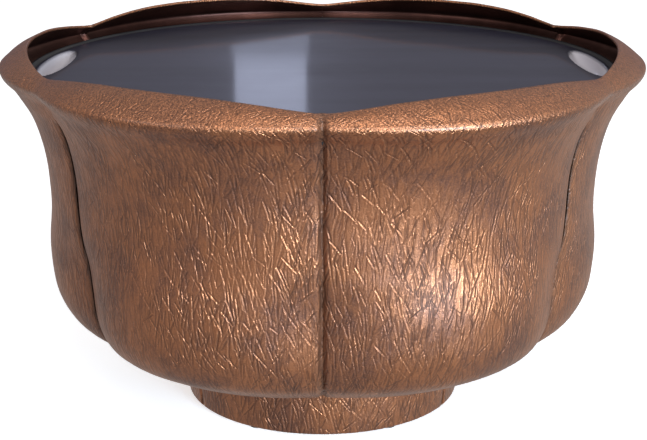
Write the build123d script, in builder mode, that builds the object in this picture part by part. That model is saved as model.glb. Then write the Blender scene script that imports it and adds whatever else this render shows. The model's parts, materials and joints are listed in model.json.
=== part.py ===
"""Tabletop water fountain: a flower-shaped copper vessel with a dark still-water plate.

Three stamped copper panels, each with two petals, make a six-petal vessel on a three-part foot ring.
A moulded liner inside holds the water. A small magnet-drive pump on the liner floor lifts the water
through a tee to two oval wells, one at each side of a round plate. The water wells up there, spreads
over the plate and drips off its edge back into the liner. The plate lifts straight out.

The frame is +Z up, with the origin on the table at the middle of the foot. The front is -Y.
All sizes are in millimetres.
"""

import os
from math import atan2, cos, degrees, hypot, radians, sin, sqrt

from build123d import *

os.makedirs("parts", exist_ok=True)

# ---------------------------------------------------------------- driving dimensions
# Vessel
fold_radius = 176.0  # middle of a petal, at the widest line
fold_height = 188.5  # height of the widest line above the table
fold_valley = 11.5  # how far a valley lies inside the petals at the widest line
lip_width = 16.0  # from the widest line in to the round opening that the lip leaves
lip_peak_rise = 14.3  # the lip's rise above the widest line, at the middle of a petal
lip_valley_rise = 6.7  # the same at a valley
panel_wall = 1.5  # copper sheet
petal_count = 6
valley_half_angle = 1.4  # half of the angle that a valley's round bottom takes
slit_width = 2.4  # the open seam between two panels
seam_closed = 14.5  # the seam is closed for this far below the widest line

# Foot
foot_radius = 77.5  # outside, at its lower edge
foot_flare = 2.5  # how much wider the foot is at its top
foot_height = 26.0
foot_slot = 2.6  # gap between two foot segments
flange_width = 13.0  # inward flanges at the joint of the panels and the foot
pad_flange_width = 10.0  # inward flange at the foot's lower edge
pad_thickness = 1.0
pad_radius = 4.0

# Base plate and its screws
base_thickness = 2.0
base_clearance = 0.5  # between the base plate and the panels
base_screw_radius = 1.9
base_screw_head_radius = 3.6
base_screw_head_height = 2.2
base_screw_turn = 25.0  # degrees from a foot segment's middle to its two screws
screw_clearance = 0.3  # round the screws in the flanges

# Liner
liner_wall = 1.2
liner_gap = 5.0  # between the liner and the valleys, along the body
liner_rim_gap = 0.8  # the same for its top stretch, which passes outside the plate
liner_rim_drop = 0.5  # the rim's distance below the widest line

# Plate and wells
plate_drop = 1.0  # the plate's top lies this far below the widest line
plate_thickness = 2.0
plate_gap = 2.0  # between the plate's edge and the lip's opening
well_turn = 4.0  # degrees that the wells lie behind the X axis
well_width = 14.8
well_length = 74.0
well_depth = 6.5
well_edge = 2.0  # between a well and the plate's edge
well_wall = 1.0
well_floor_share = 0.55  # size of a well's flat floor against its mouth
peg_radius = 3.0
peg_length = 6.0
peg_clearance = 0.5  # between the pegs and the stand ring

# Feed ducts under the plate
duct_reach = 10.0  # from a well's inner side to the middle of its spigot
duct_width = 10.0
duct_height = 7.0
duct_bore = 2.0
duct_step = 0.25  # how far a duct's bore lies above its well's floor
spigot_radius = 3.6
spigot_bore = 2.2
spigot_length = 9.0

# Pipework
pipe_radius = 5.0
pipe_bore = 3.5
fitting_wall = 1.6
fitting_grip = 8.0  # how far a pipe goes into a fitting
fitting_stop = 6.0  # from a fitting's middle to a pipe's end
branch_drop = 30.5  # from the plate's top down to the branch pipes' middle
socket_clearance = 0.3
socket_wall = 2.0
socket_length = 12.0
socket_gap = 1.0  # between a socket's mouth and the duct above it

# Stand
stand_ring_radius = 100.0
stand_ring_width = 14.0
stand_ring_thickness = 2.0
stand_pad_radius = 5.0
stand_pad_thickness = 1.8
stand_leg_radius = 3.0
stand_foot_inset = 14.0  # each leg stands this far inside the liner's flat floor
stand_knee_rise = 41.3  # the lower bend's height above the liner's floor
stand_knee_drop = 43.7  # the upper bend's distance below the ring
stand_bend = 26.0
leg_cap_wall = 2.5
leg_cap_height = 12.0
leg_cap_floor = 2.0
stand_screw_radius = 1.5
stand_screw_head_radius = 2.8
stand_screw_head_height = 1.3
stand_screw_length = 10.0

# Pump
pump_width = 44.0
pump_height = 40.0
motor_length = 32.0
back_cover_thickness = 2.0
volute_length = 15.0
strainer_length = 11.0
pump_wall = 2.0
pump_corner = 6.0
cup_height = 6.0
cup_radius = 7.0
cup_neck = 3.0
cup_spacing_x = 28.0
cup_spacing_y = 38.0
chamber_radius = 13.5
rotor_radius = 6.5
rotor_length = 22.0
rotor_gap = 0.8  # between the rotor and its well
rotor_well_wall = 1.2
impeller_hub_radius = 4.0
impeller_radius = 11.5
impeller_thickness = 6.0
impeller_disc_thickness = 1.5
impeller_vanes = 6
vane_thickness = 1.4
shaft_radius = 1.0
shaft_clearance = 0.05
bush_radius = 3.5
bush_length = 3.0
bush_boss_wall = 1.5
inlet_holes = 6
inlet_hole_radius = 1.9
inlet_circle = 8.0
outlet_length = 14.0
core_leg = 6.0
core_depth = 12.0
core_yoke = 4.0
core_gap = 0.5
coil_wall = 2.0
coil_length = 16.0
seal_ring_radius = 16.5
seal_ring_section = 0.9
dial_radius = 9.0
dial_thickness = 3.0
dial_rib = 2.5
dial_gap = 0.3  # between the dial and the strainer
dial_pin_radius = 3.0
dial_pin_clearance = 0.05
dial_keeper_radius = 5.0
dial_keeper_thickness = 1.5
strainer_slots = 5
strainer_slot_width = 7.0
strainer_slot_height = 2.6
strainer_slot_pitch = 6.0
strainer_slot_reach = 15.0  # from the middle to each row of slots

# Cord gland
gland_inset = 13.0  # the gland's middle lies this far inside the foot's flange
gland_bore = 3.1  # takes a 6 mm cord
gland_radius = 6.0
gland_flange_radius = 9.5
gland_flange_thickness = 3.0
gland_nut_radius = 10.0  # across the corners, halved
gland_nut_height = 5.0
gland_length = 22.0
gland_seal_thickness = 1.5
gland_clearance = 0.1

# ---------------------------------------------------------------- worked-out values
seat_radius = foot_radius + foot_flare
lip_opening_radius = fold_radius - lip_width
slit_top = fold_height - seam_closed
liner_rim_height = fold_height - liner_rim_drop
plate_top = fold_height - plate_drop
branch_height = plate_top - branch_drop
petal_turn = 360 / petal_count
panel_turn = 120.0
front_turn = -90.0
flange_inner = seat_radius - flange_width
base_screw_reach = seat_radius - flange_width / 2
base_bottom = foot_height + panel_wall
base_radius = seat_radius - panel_wall - base_clearance
liner_bottom = base_bottom + base_thickness
liner_floor = liner_bottom + liner_wall
stand_foot_reach = base_radius - stand_foot_inset
gland_reach = flange_inner - gland_inset
plate_radius = lip_opening_radius - plate_gap
plate_bottom = plate_top - plate_thickness
well_reach = plate_radius - well_edge - well_width / 2
duct_middle = well_reach - well_width / 2 - duct_reach
pipe_line = duct_middle * sin(radians(well_turn))  # the pipework's plane, behind the X axis
elbow_reach = duct_middle * cos(radians(well_turn))
pump_bottom = liner_floor + cup_height
pump_axis = pump_bottom + pump_height / 2

# The side view of a petal's middle. The belly is measured from the seat, and the flare from the
# widest line. Each row ends with the depth of the valleys there.
belly_outline = [
    # rise above the foot, reach beyond the seat
    (0.0, 0.0, 0.0),
    (9.75, 24.96, 3.5),
    (17.55, 49.92, 6.0),
    (34.9375, 69.12, 11.5),
    (59.3125, 73.44, 12.5),
]
waist = (0.51765, 71.52, 5.0)  # share of the way up from the belly to the flare, reach beyond the seat
flare_outline = [
    # drop below the widest line, distance inside it
    (34.125, 20.16, 6.5),
    (10.5625, 9.12, 9.5),
    (0.0, 0.0, fold_valley),
]


def wall_stations():
    """Height, petal radius and valley radius of the vessel's outside, from the seat to the fold."""
    belly = [(foot_height + rise, seat_radius + reach, valley) for rise, reach, valley in belly_outline]
    flare = [(fold_height - drop, fold_radius - inside, valley) for drop, inside, valley in flare_outline]
    share, reach, valley = waist
    waist_height = belly[-1][0] + share * (flare[0][0] - belly[-1][0])
    rows = [*belly, (waist_height, seat_radius + reach, valley), *flare]
    return [(z, petal, petal - valley) for z, petal, valley in rows]


def lip_stations():
    """The same for the lip, from the fold to a little past the opening."""
    past = 1.25
    peak_slope = lip_peak_rise / (fold_radius - lip_opening_radius)
    valley_radius = fold_radius - fold_valley
    valley_slope = lip_valley_rise / (valley_radius - lip_opening_radius)
    rise = past * lip_peak_rise
    top = (fold_height + rise, fold_radius - rise / peak_slope, valley_radius - rise / valley_slope)
    return [(fold_height, fold_radius, valley_radius), top]


def inset(rows, wall):
    """Stations moved inwards by the wall, square to the petal's side view."""
    moved = []
    for i, (z, petal, valley) in enumerate(rows):
        low = rows[max(i - 1, 0)]
        high = rows[min(i + 1, len(rows) - 1)]
        run, rise = high[1] - low[1], high[0] - low[0]
        size = hypot(run, rise)
        out, up = rise / size, -run / size
        moved.append((z - wall * up, petal - wall * out, valley - wall * out))
    return moved


def on_petal(petal, valley, turn):
    """Distance from the middle to a petal's arc, at a turn in degrees from the petal's middle."""
    half = radians(petal_turn / 2)
    centre = (petal**2 - valley**2) / (2 * (petal - valley * cos(half)))
    arc = petal - centre
    a = radians(turn)
    return centre * cos(a) + sqrt(arc**2 - (centre * sin(a)) ** 2)


def polar(radius, turn):
    """A point at a distance from the middle, at an angle in degrees."""
    return (radius * cos(radians(turn)), radius * sin(radians(turn)))


def lobed_section(z, petal, valley):
    """A face with six petals and rounded valleys, at a height. A petal's middle lies on +X."""
    half = petal_turn / 2
    end = half - valley_half_angle
    side = on_petal(petal, valley, end)
    bottom = (side * cos(radians(valley_half_angle)) + valley) / 2
    with BuildSketch(Plane.XY.offset(z)) as section:
        with BuildLine():
            for n in range(petal_count):
                turn = n * petal_turn
                ThreePointArc(polar(side, turn - end), polar(petal, turn), polar(side, turn + end))
                ThreePointArc(
                    polar(side, turn + end),
                    polar(bottom, turn + half),
                    polar(side, turn + half + valley_half_angle),
                )
        make_face()
    return section.sketch


def write_piece(name, label):
    """Labels a finished piece and writes it as one STEP file."""
    name.part.label = label
    export_step(name.part, f"parts/{label}.step")


def write_thrice(piece, name):
    """Writes the front segment, and copies of it turned to the other two places."""
    write_piece(piece, f"{name}_front")
    for side, turn in (("right_rear", panel_turn), ("left_rear", -panel_turn)):
        with BuildPart() as copy:
            add(piece.part.rotate(Axis.Z, turn))
        write_piece(copy, f"{name}_{side}")


# ---------------------------------------------------------------- vessel panels
with BuildPart() as vessel:
    for row in wall_stations():
        add(lobed_section(*row))
    loft()
    for row in lip_stations():
        add(lobed_section(*row))
    loft()

with BuildPart() as hollow:
    inside_wall = inset(wall_stations(), panel_wall)
    inside_lip = inset(lip_stations(), panel_wall)
    fold_inside = inside_wall[-1]
    inside_wall[0] = (base_bottom, seat_radius - panel_wall, seat_radius - panel_wall)
    inside_wall[-1] = (inside_lip[0][0], fold_inside[1] - panel_wall / 2, fold_inside[2] - panel_wall / 2)
    for row in inside_wall:
        add(lobed_section(*row))
    loft()
    for row in [inside_wall[-1], inside_lip[1]]:
        add(lobed_section(*row))
    loft()

sector_reach = 2 * fold_radius
with BuildSketch() as sector:
    with BuildLine():
        Polyline(
            (0, 0),
            polar(sector_reach, front_turn - panel_turn / 2),
            polar(sector_reach, front_turn),
            polar(sector_reach, front_turn + panel_turn / 2),
            close=True,
        )
    make_face()

with BuildSketch() as flange_holes:
    with Locations(*[polar(base_screw_reach, front_turn + side * base_screw_turn) for side in (-1, 1)]):
        Circle(base_screw_radius + screw_clearance)


def seam_cut(width):
    """A sketch of the two gaps at the sides of the front segment."""
    with BuildSketch() as gaps:
        with Locations(*[Rotation(0, 0, front_turn + side * panel_turn / 2) for side in (-1, 1)]):
            Rectangle(sector_reach, width, align=(Align.MIN, Align.CENTER))
    return gaps.sketch


with BuildPart() as panel_front:
    add(vessel.part)
    add(hollow.part, mode=Mode.SUBTRACT)
    with BuildSketch(Plane.XY.offset(fold_height + panel_wall)):
        Circle(lip_opening_radius)
    extrude(amount=2 * lip_peak_rise, mode=Mode.SUBTRACT)
    with BuildSketch():
        Circle(flange_inner)
    extrude(amount=fold_height, mode=Mode.SUBTRACT)
    add(sector.sketch)
    extrude(amount=2 * fold_height, mode=Mode.INTERSECT)
    add(seam_cut(slit_width))
    extrude(amount=slit_top, mode=Mode.SUBTRACT)
    add(flange_holes.sketch)
    extrude(amount=liner_bottom, mode=Mode.SUBTRACT)
write_thrice(panel_front, "panel")

# ---------------------------------------------------------------- foot segments
foot_bottom = pad_thickness
flange_bottom = foot_height - panel_wall
with BuildPart() as foot_front:
    with BuildSketch(Plane.XZ):
        with BuildLine():
            Polyline(
                (foot_radius, foot_bottom),
                (seat_radius, foot_height),
                (flange_inner, foot_height),
                (flange_inner, flange_bottom),
                (seat_radius - panel_wall, flange_bottom),
                (foot_radius - panel_wall, foot_bottom + panel_wall),
                (foot_radius - pad_flange_width, foot_bottom + panel_wall),
                (foot_radius - pad_flange_width, foot_bottom),
                close=True,
            )
        make_face()
    revolve(axis=Axis.Z)
    add(sector.sketch)
    extrude(amount=foot_height, mode=Mode.INTERSECT)
    add(seam_cut(foot_slot))
    extrude(amount=foot_height, mode=Mode.SUBTRACT)
    with BuildSketch(Plane.XY.offset(flange_bottom)):
        add(flange_holes.sketch)
    extrude(amount=panel_wall, mode=Mode.SUBTRACT)
write_thrice(foot_front, "foot")

with BuildPart() as foot_pads:
    with BuildSketch():
        with PolarLocations(foot_radius - pad_flange_width / 2 - panel_wall / 2, petal_count):
            Circle(pad_radius)
    extrude(amount=pad_thickness)
write_piece(foot_pads, "foot_pads")

# ---------------------------------------------------------------- base plate and screws
screw_points = []
for middle in (front_turn, front_turn + panel_turn, front_turn - panel_turn):
    screw_points += [polar(base_screw_reach, middle + side * base_screw_turn) for side in (-1, 1)]
gland_point = (0, gland_reach)

with BuildPart() as base_plate:
    with BuildSketch(Plane.XY.offset(base_bottom)):
        Circle(base_radius)
        with Locations(*screw_points):
            Circle(base_screw_radius, mode=Mode.SUBTRACT)
        with Locations(gland_point):
            Circle(gland_radius + gland_clearance, mode=Mode.SUBTRACT)
    extrude(amount=base_thickness)
write_piece(base_plate, "base_plate")

with BuildPart() as base_screws:
    with BuildSketch(Plane.XY.offset(flange_bottom)):
        with Locations(*screw_points):
            Circle(base_screw_radius)
    extrude(amount=liner_bottom - flange_bottom)
    with BuildSketch(Plane.XY.offset(flange_bottom)):
        with Locations(*screw_points):
            Circle(base_screw_head_radius)
    extrude(amount=-base_screw_head_height)
    chamfer(base_screws.edges().group_by(Axis.Z)[0], base_screw_head_height / 4)
    with BuildSketch(Plane.XY.offset(flange_bottom - base_screw_head_height)):
        with Locations(*screw_points):
            RegularPolygon(base_screw_radius, 6)
    extrude(amount=base_screw_head_height / 2, mode=Mode.SUBTRACT)
write_piece(base_screws, "base_screws")


# ---------------------------------------------------------------- liner
def liner_side(depth):
    """Points up the liner's side, at a depth inside its outer face. The rim's point comes last."""
    valleys = [(z, valley, valley) for z, petal, valley in wall_stations()]
    body = inset(valleys, panel_wall + liner_gap + depth)[1:-2]
    shoulder = inset(valleys, panel_wall + liner_rim_gap + depth)[-2]
    rim_radius = fold_radius - fold_valley - panel_wall - liner_rim_gap - depth
    return [(radius, z) for z, radius, same in [*body, shoulder]] + [(rim_radius, liner_rim_height)]


with BuildPart() as liner:
    with BuildSketch(Plane.XZ):
        with BuildLine():
            outer = liner_side(0)
            inner = liner_side(liner_wall)
            Polyline((0, liner_floor), (0, liner_bottom), (base_radius, liner_bottom), outer[0])
            Spline(*outer)
            Line(outer[-1], inner[-1])
            Spline(*inner)
            Polyline(inner[0], (base_radius, liner_floor), (0, liner_floor))
        make_face()
    revolve(axis=Axis.Z)
    with BuildSketch(Plane.XY.offset(liner_bottom)):
        with Locations(gland_point):
            Circle(gland_radius + gland_clearance)
    extrude(amount=liner_wall, mode=Mode.SUBTRACT)
write_piece(liner, "liner")


# ---------------------------------------------------------------- plate with its two wells
def side_plane(reach, turn, z):
    """A level plane at a distance from the middle, with its X axis pointing out."""
    out = polar(1, turn)
    return Plane(origin=(reach * out[0], reach * out[1], z), x_dir=(out[0], out[1], 0), z_dir=(0, 0, 1))


well_floor = plate_top - well_depth
duct_line = well_floor + duct_step + duct_bore
well_turns = {"right": well_turn, "left": 180 - well_turn}

with BuildPart() as well_shells:
    for turn in well_turns.values():
        with BuildSketch(side_plane(well_reach, turn, plate_top)):
            Ellipse(well_width / 2 + well_wall, well_length / 2 + well_wall)
        with BuildSketch(side_plane(well_reach, turn, well_floor - well_wall)):
            Ellipse(
                well_floor_share * well_width / 2 + well_wall,
                well_floor_share * well_length / 2 + well_wall,
            )
        loft()

with BuildPart() as duct_bores:
    for turn in well_turns.values():
        out = polar(1, turn)
        start = (duct_middle * out[0], duct_middle * out[1], duct_line)
        with BuildSketch(Plane(origin=start, x_dir=(0, 0, 1), z_dir=(out[0], out[1], 0))):
            Circle(duct_bore)
        extrude(amount=duct_reach + well_width / 2)

with BuildPart() as plate:
    with BuildSketch(Plane.XY.offset(plate_bottom)):
        Circle(plate_radius)
    extrude(amount=plate_thickness)
    fillet(plate.edges().filter_by(GeomType.CIRCLE), plate_thickness / 4)
    add(well_shells.part)
    for turn in well_turns.values():
        with BuildSketch(side_plane(well_reach, turn, plate_top)):
            Ellipse(well_width / 2, well_length / 2)
        with BuildSketch(side_plane(well_reach, turn, well_floor)):
            Ellipse(well_floor_share * well_width / 2, well_floor_share * well_length / 2)
        loft(mode=Mode.SUBTRACT)
    add(duct_bores.part, mode=Mode.SUBTRACT)
write_piece(plate, "plate")

peg_circle = stand_ring_radius - stand_ring_width / 2 - peg_radius - peg_clearance
with BuildPart() as plate_pegs:
    with BuildSketch(Plane.XY.offset(plate_bottom)):
        with PolarLocations(peg_circle, 3, start_angle=petal_turn / 2):
            Circle(peg_radius)
    extrude(amount=-peg_length)
    chamfer(plate_pegs.edges().group_by(Axis.Z)[0], peg_radius / 4)
write_piece(plate_pegs, "plate_pegs")

duct_bottom = plate_bottom - duct_height
for side, turn in well_turns.items():
    with BuildPart() as duct:
        with BuildSketch(side_plane(duct_middle, turn, duct_bottom)):
            Circle(duct_width / 2)
            Rectangle(duct_reach + well_width / 2, duct_width, align=(Align.MIN, Align.CENTER))
        extrude(amount=duct_height)
        with BuildSketch(side_plane(duct_middle, turn, duct_bottom)):
            Circle(spigot_radius)
        extrude(amount=-spigot_length)
        with BuildSketch(side_plane(duct_middle, turn, duct_bottom - spigot_length)):
            Circle(spigot_bore)
        extrude(amount=spigot_length + duct_line - duct_bottom, mode=Mode.SUBTRACT)
        add(duct_bores.part, mode=Mode.SUBTRACT)
        add(well_shells.part, mode=Mode.SUBTRACT)
    write_piece(duct, f"feed_duct_{side}")

# ---------------------------------------------------------------- stand under the plate
ring_top = plate_bottom - stand_pad_thickness
ring_bottom = ring_top - stand_ring_thickness
leg_turns = {"front": -90.0, "right": 30.0, "left": 150.0}
leg_tops = [polar(stand_ring_radius, turn) for turn in leg_turns.values()]
leg_feet = [polar(stand_foot_reach, turn) for turn in leg_turns.values()]
leg_bottom = liner_floor + leg_cap_floor
stand_knee_low = liner_floor + stand_knee_rise
stand_knee_high = ring_bottom - stand_knee_drop

with BuildPart() as stand_ring:
    with BuildSketch(Plane.XY.offset(ring_bottom)):
        Circle(stand_ring_radius + stand_ring_width / 2)
        Circle(stand_ring_radius - stand_ring_width / 2, mode=Mode.SUBTRACT)
        with Locations(*leg_tops):
            Circle(stand_screw_radius, mode=Mode.SUBTRACT)
    extrude(amount=stand_ring_thickness)
write_piece(stand_ring, "stand_ring")

with BuildPart() as stand_pads:
    with BuildSketch(Plane.XY.offset(ring_top)):
        with PolarLocations(stand_ring_radius, 3, start_angle=leg_turns["front"] + petal_turn):
            Circle(stand_pad_radius)
    extrude(amount=stand_pad_thickness)
write_piece(stand_pads, "stand_pads")

with BuildPart() as stand_screws:
    with BuildSketch(Plane.XY.offset(ring_top)):
        with Locations(*leg_tops):
            Circle(stand_screw_radius)
    extrude(amount=-stand_screw_length)
    with BuildSketch(Plane.XY.offset(ring_top)):
        with Locations(*leg_tops):
            Circle(stand_screw_head_radius)
    extrude(amount=stand_screw_head_height)
    chamfer(stand_screws.edges().group_by(Axis.Z)[-1], stand_screw_head_height / 2)
write_piece(stand_screws, "stand_screws")

for side, turn in leg_turns.items():
    out = polar(1, turn)
    with BuildPart() as stand_leg:
        with BuildLine(Plane(origin=(0, 0, 0), x_dir=(out[0], out[1], 0), z_dir=(out[1], -out[0], 0))):
            FilletPolyline(
                (stand_foot_reach, leg_bottom),
                (stand_foot_reach, stand_knee_low),
                (stand_ring_radius, stand_knee_high),
                (stand_ring_radius, ring_bottom),
                radius=stand_bend,
            )
        with BuildSketch(side_plane(stand_foot_reach, turn, leg_bottom)):
            Circle(stand_leg_radius)
        sweep()
        with BuildSketch(side_plane(stand_ring_radius, turn, ring_top - stand_screw_length)):
            Circle(stand_screw_radius)
        extrude(amount=stand_screw_length, mode=Mode.SUBTRACT)
    write_piece(stand_leg, f"stand_leg_{side}")

with BuildPart() as leg_caps:
    with BuildSketch(Plane.XY.offset(liner_floor)):
        with Locations(*leg_feet):
            Circle(stand_leg_radius + leg_cap_wall)
    extrude(amount=leg_cap_height)
    chamfer(leg_caps.edges().group_by(Axis.Z)[-1], leg_cap_wall / 2)
    with BuildSketch(Plane.XY.offset(leg_bottom)):
        with Locations(*leg_feet):
            Circle(stand_leg_radius)
    extrude(amount=leg_cap_height, mode=Mode.SUBTRACT)
write_piece(leg_caps, "leg_caps")


# ---------------------------------------------------------------- pump housing
def pump_plane(x):
    """A plane across the pump at a place along it, with its normal along +X."""
    return Plane(origin=(x, pipe_line, pump_axis), x_dir=(0, 1, 0), z_dir=(1, 0, 0))


volute_front = -volute_length / 2
volute_back = volute_length / 2
motor_back = volute_back + motor_length
impeller_front = -impeller_thickness / 2
impeller_back = impeller_thickness / 2
rotor_back = impeller_back + rotor_length
bush_back = rotor_back + rotor_gap + bush_length
outlet_top = pump_axis + pump_height / 2 + outlet_length
rotor_well_radius = rotor_radius + rotor_gap
rotor_tube_radius = rotor_well_radius + rotor_well_wall

with BuildPart() as pump_volute:
    with BuildSketch(pump_plane(volute_front)):
        RectangleRounded(pump_width, pump_height, pump_corner)
    extrude(amount=volute_length)
    with BuildSketch(Plane(origin=(0, pipe_line, pump_axis))):
        Circle(pipe_radius)
    extrude(amount=pump_height / 2 + outlet_length)
    with BuildSketch(pump_plane(volute_front + pump_wall)):
        Circle(chamber_radius)
    extrude(amount=volute_length - pump_wall, mode=Mode.SUBTRACT)
    with BuildSketch(pump_plane(volute_front)):
        Circle(bush_radius + bush_boss_wall)
    extrude(amount=bush_length)
    with BuildSketch(pump_plane(volute_front)):
        Circle(bush_radius)
        with PolarLocations(inlet_circle, inlet_holes):
            Circle(inlet_hole_radius)
    extrude(amount=bush_length, mode=Mode.SUBTRACT)
    with BuildSketch(pump_plane(volute_back)):
        Circle(seal_ring_radius + seal_ring_section)
        Circle(seal_ring_radius - seal_ring_section, mode=Mode.SUBTRACT)
    extrude(amount=-2 * seal_ring_section, mode=Mode.SUBTRACT)
    with BuildSketch(Plane(origin=(0, pipe_line, pump_axis))):
        Circle(pipe_bore)
    extrude(amount=pump_height / 2 + outlet_length, mode=Mode.SUBTRACT)
write_piece(pump_volute, "pump_volute")

with BuildPart() as volute_seal:
    with BuildSketch(pump_plane(volute_back - 2 * seal_ring_section)):
        Circle(seal_ring_radius + seal_ring_section)
        Circle(seal_ring_radius - seal_ring_section, mode=Mode.SUBTRACT)
    extrude(amount=2 * seal_ring_section)
    rounded = volute_seal.edges().filter_by(GeomType.CIRCLE)
    fillet(rounded, 0.8 * seal_ring_section)
write_piece(volute_seal, "volute_seal")

with BuildPart() as motor_housing:
    with BuildSketch(pump_plane(volute_back)):
        RectangleRounded(pump_width, pump_height, pump_corner)
    extrude(amount=motor_length)
    with BuildSketch(pump_plane(volute_back + pump_wall)):
        RectangleRounded(pump_width - 2 * pump_wall, pump_height - 2 * pump_wall, pump_corner - pump_wall)
    extrude(amount=motor_length - pump_wall, mode=Mode.SUBTRACT)
    with BuildSketch(pump_plane(volute_back)):
        Circle(rotor_tube_radius)
    extrude(amount=bush_back + rotor_well_wall - volute_back)
    with BuildSketch(pump_plane(volute_back)):
        Circle(rotor_well_radius)
    extrude(amount=rotor_back + rotor_gap - volute_back, mode=Mode.SUBTRACT)
    with BuildSketch(pump_plane(volute_back)):
        Circle(bush_radius)
    extrude(amount=bush_back - volute_back, mode=Mode.SUBTRACT)
write_piece(motor_housing, "motor_housing")

with BuildPart() as motor_back_cover:
    with BuildSketch(pump_plane(motor_back)):
        RectangleRounded(pump_width, pump_height, pump_corner)
    extrude(amount=back_cover_thickness)
    chamfer(motor_back_cover.faces().sort_by(Axis.X)[-1].edges(), back_cover_thickness / 2)
    with BuildSketch(pump_plane(motor_back)):
        with Locations((pump_width / 4, -pump_height / 4)):
            Circle(gland_bore)
    extrude(amount=back_cover_thickness, mode=Mode.SUBTRACT)
write_piece(motor_back_cover, "motor_back_cover")

# ---------------------------------------------------------------- motor core and coil
core_inner = rotor_tube_radius + core_gap
yoke_front = bush_back + rotor_well_wall + core_gap + coil_wall
with BuildPart() as motor_core:
    with BuildSketch(Plane.XY.offset(pump_axis - core_depth / 2)):
        with BuildLine():
            Polyline(
                (volute_back + pump_wall + core_gap, pipe_line - core_inner - core_leg),
                (yoke_front + core_yoke, pipe_line - core_inner - core_leg),
                (yoke_front + core_yoke, pipe_line + core_inner + core_leg),
                (volute_back + pump_wall + core_gap, pipe_line + core_inner + core_leg),
                (volute_back + pump_wall + core_gap, pipe_line + core_inner),
                (yoke_front, pipe_line + core_inner),
                (yoke_front, pipe_line - core_inner),
                (volute_back + pump_wall + core_gap, pipe_line - core_inner),
                close=True,
            )
        make_face()
    extrude(amount=core_depth)
write_piece(motor_core, "motor_core")

with BuildPart() as motor_coil:
    coil_middle = (yoke_front + core_yoke / 2, pipe_line, pump_axis)
    with BuildSketch(Plane(origin=coil_middle, x_dir=(1, 0, 0), z_dir=(0, 1, 0))):
        RectangleRounded(core_yoke + 2 * coil_wall, core_depth + 2 * coil_wall, coil_wall)
        Rectangle(core_yoke, core_depth, mode=Mode.SUBTRACT)
    extrude(amount=coil_length / 2, both=True)
write_piece(motor_coil, "motor_coil")

# ---------------------------------------------------------------- rotor, impeller and their bearings
with BuildPart() as rotor_shaft:
    with BuildSketch(pump_plane(volute_front)):
        Circle(shaft_radius)
    extrude(amount=bush_back - volute_front)
write_piece(rotor_shaft, "rotor_shaft")

for label, start in (("front_bush", volute_front), ("rear_bush", bush_back - bush_length)):
    with BuildPart() as bush:
        with BuildSketch(pump_plane(start)):
            Circle(bush_radius)
            Circle(shaft_radius, mode=Mode.SUBTRACT)
        extrude(amount=bush_length)
    write_piece(bush, label)

with BuildPart() as rotor_magnet:
    with BuildSketch(pump_plane(impeller_back)):
        Circle(rotor_radius)
        Circle(shaft_radius + shaft_clearance, mode=Mode.SUBTRACT)
    extrude(amount=rotor_length)
write_piece(rotor_magnet, "rotor_magnet")

with BuildPart() as impeller:
    with BuildSketch(pump_plane(impeller_back)):
        Circle(impeller_radius)
    extrude(amount=-impeller_disc_thickness)
    with BuildSketch(pump_plane(impeller_back)):
        Circle(impeller_hub_radius)
        with PolarLocations(0, impeller_vanes):
            Rectangle(impeller_radius, vane_thickness, align=(Align.MIN, Align.CENTER))
    extrude(amount=-impeller_thickness)
    with BuildSketch(pump_plane(impeller_back)):
        Circle(shaft_radius + shaft_clearance)
    extrude(amount=-impeller_thickness, mode=Mode.SUBTRACT)
write_piece(impeller, "impeller")

# ---------------------------------------------------------------- suction cups
cup_middle = (volute_front + motor_back) / 2
with BuildPart() as suction_cups:
    with BuildSketch(Plane.XY.offset(liner_floor)):
        with Locations((cup_middle, pipe_line)):
            with GridLocations(cup_spacing_x, cup_spacing_y, 2, 2):
                Circle(cup_radius)
    extrude(amount=cup_height / 2, taper=degrees(atan2(cup_radius - cup_neck, cup_height / 2)))
    with BuildSketch(Plane.XY.offset(liner_floor)):
        with Locations((cup_middle, pipe_line)):
            with GridLocations(cup_spacing_x, cup_spacing_y, 2, 2):
                Circle(cup_neck)
    extrude(amount=cup_height)
write_piece(suction_cups, "suction_cups")

# ---------------------------------------------------------------- strainer and flow dial
strainer_front = volute_front - strainer_length
with BuildPart() as strainer:
    with BuildSketch(pump_plane(strainer_front)):
        RectangleRounded(pump_width, pump_height, pump_corner)
    extrude(amount=strainer_length)
    chamfer(strainer.faces().sort_by(Axis.X)[0].edges(), pump_wall / 2)
    with BuildSketch(pump_plane(strainer_front + pump_wall)):
        RectangleRounded(pump_width - 2 * pump_wall, pump_height - 2 * pump_wall, pump_corner - pump_wall)
    extrude(amount=strainer_length - pump_wall, mode=Mode.SUBTRACT)
    with BuildSketch(pump_plane(strainer_front)):
        Circle(dial_pin_radius + dial_pin_clearance)
        with GridLocations(2 * strainer_slot_reach, strainer_slot_pitch, 2, strainer_slots):
            SlotOverall(strainer_slot_width, strainer_slot_height)
    extrude(amount=pump_wall, mode=Mode.SUBTRACT)
write_piece(strainer, "strainer")

dial_back = strainer_front - dial_gap
keeper_front = strainer_front + pump_wall + dial_gap
with BuildPart() as flow_dial:
    with BuildSketch(pump_plane(dial_back)):
        Circle(dial_radius)
    extrude(amount=-dial_thickness)
    with BuildSketch(pump_plane(dial_back - dial_thickness)):
        Rectangle(dial_rib, 2 * dial_radius - dial_rib)
    extrude(amount=-dial_rib)
    with BuildSketch(pump_plane(dial_back)):
        Circle(dial_pin_radius)
    extrude(amount=keeper_front - dial_back)
    with BuildSketch(pump_plane(keeper_front)):
        Circle(dial_keeper_radius)
    extrude(amount=dial_keeper_thickness)
write_piece(flow_dial, "flow_dial")

# ---------------------------------------------------------------- pipework
arm_length = fitting_stop + fitting_grip
sleeve_radius = pipe_radius + fitting_wall
tee_middle = (0, pipe_line, branch_height)

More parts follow.
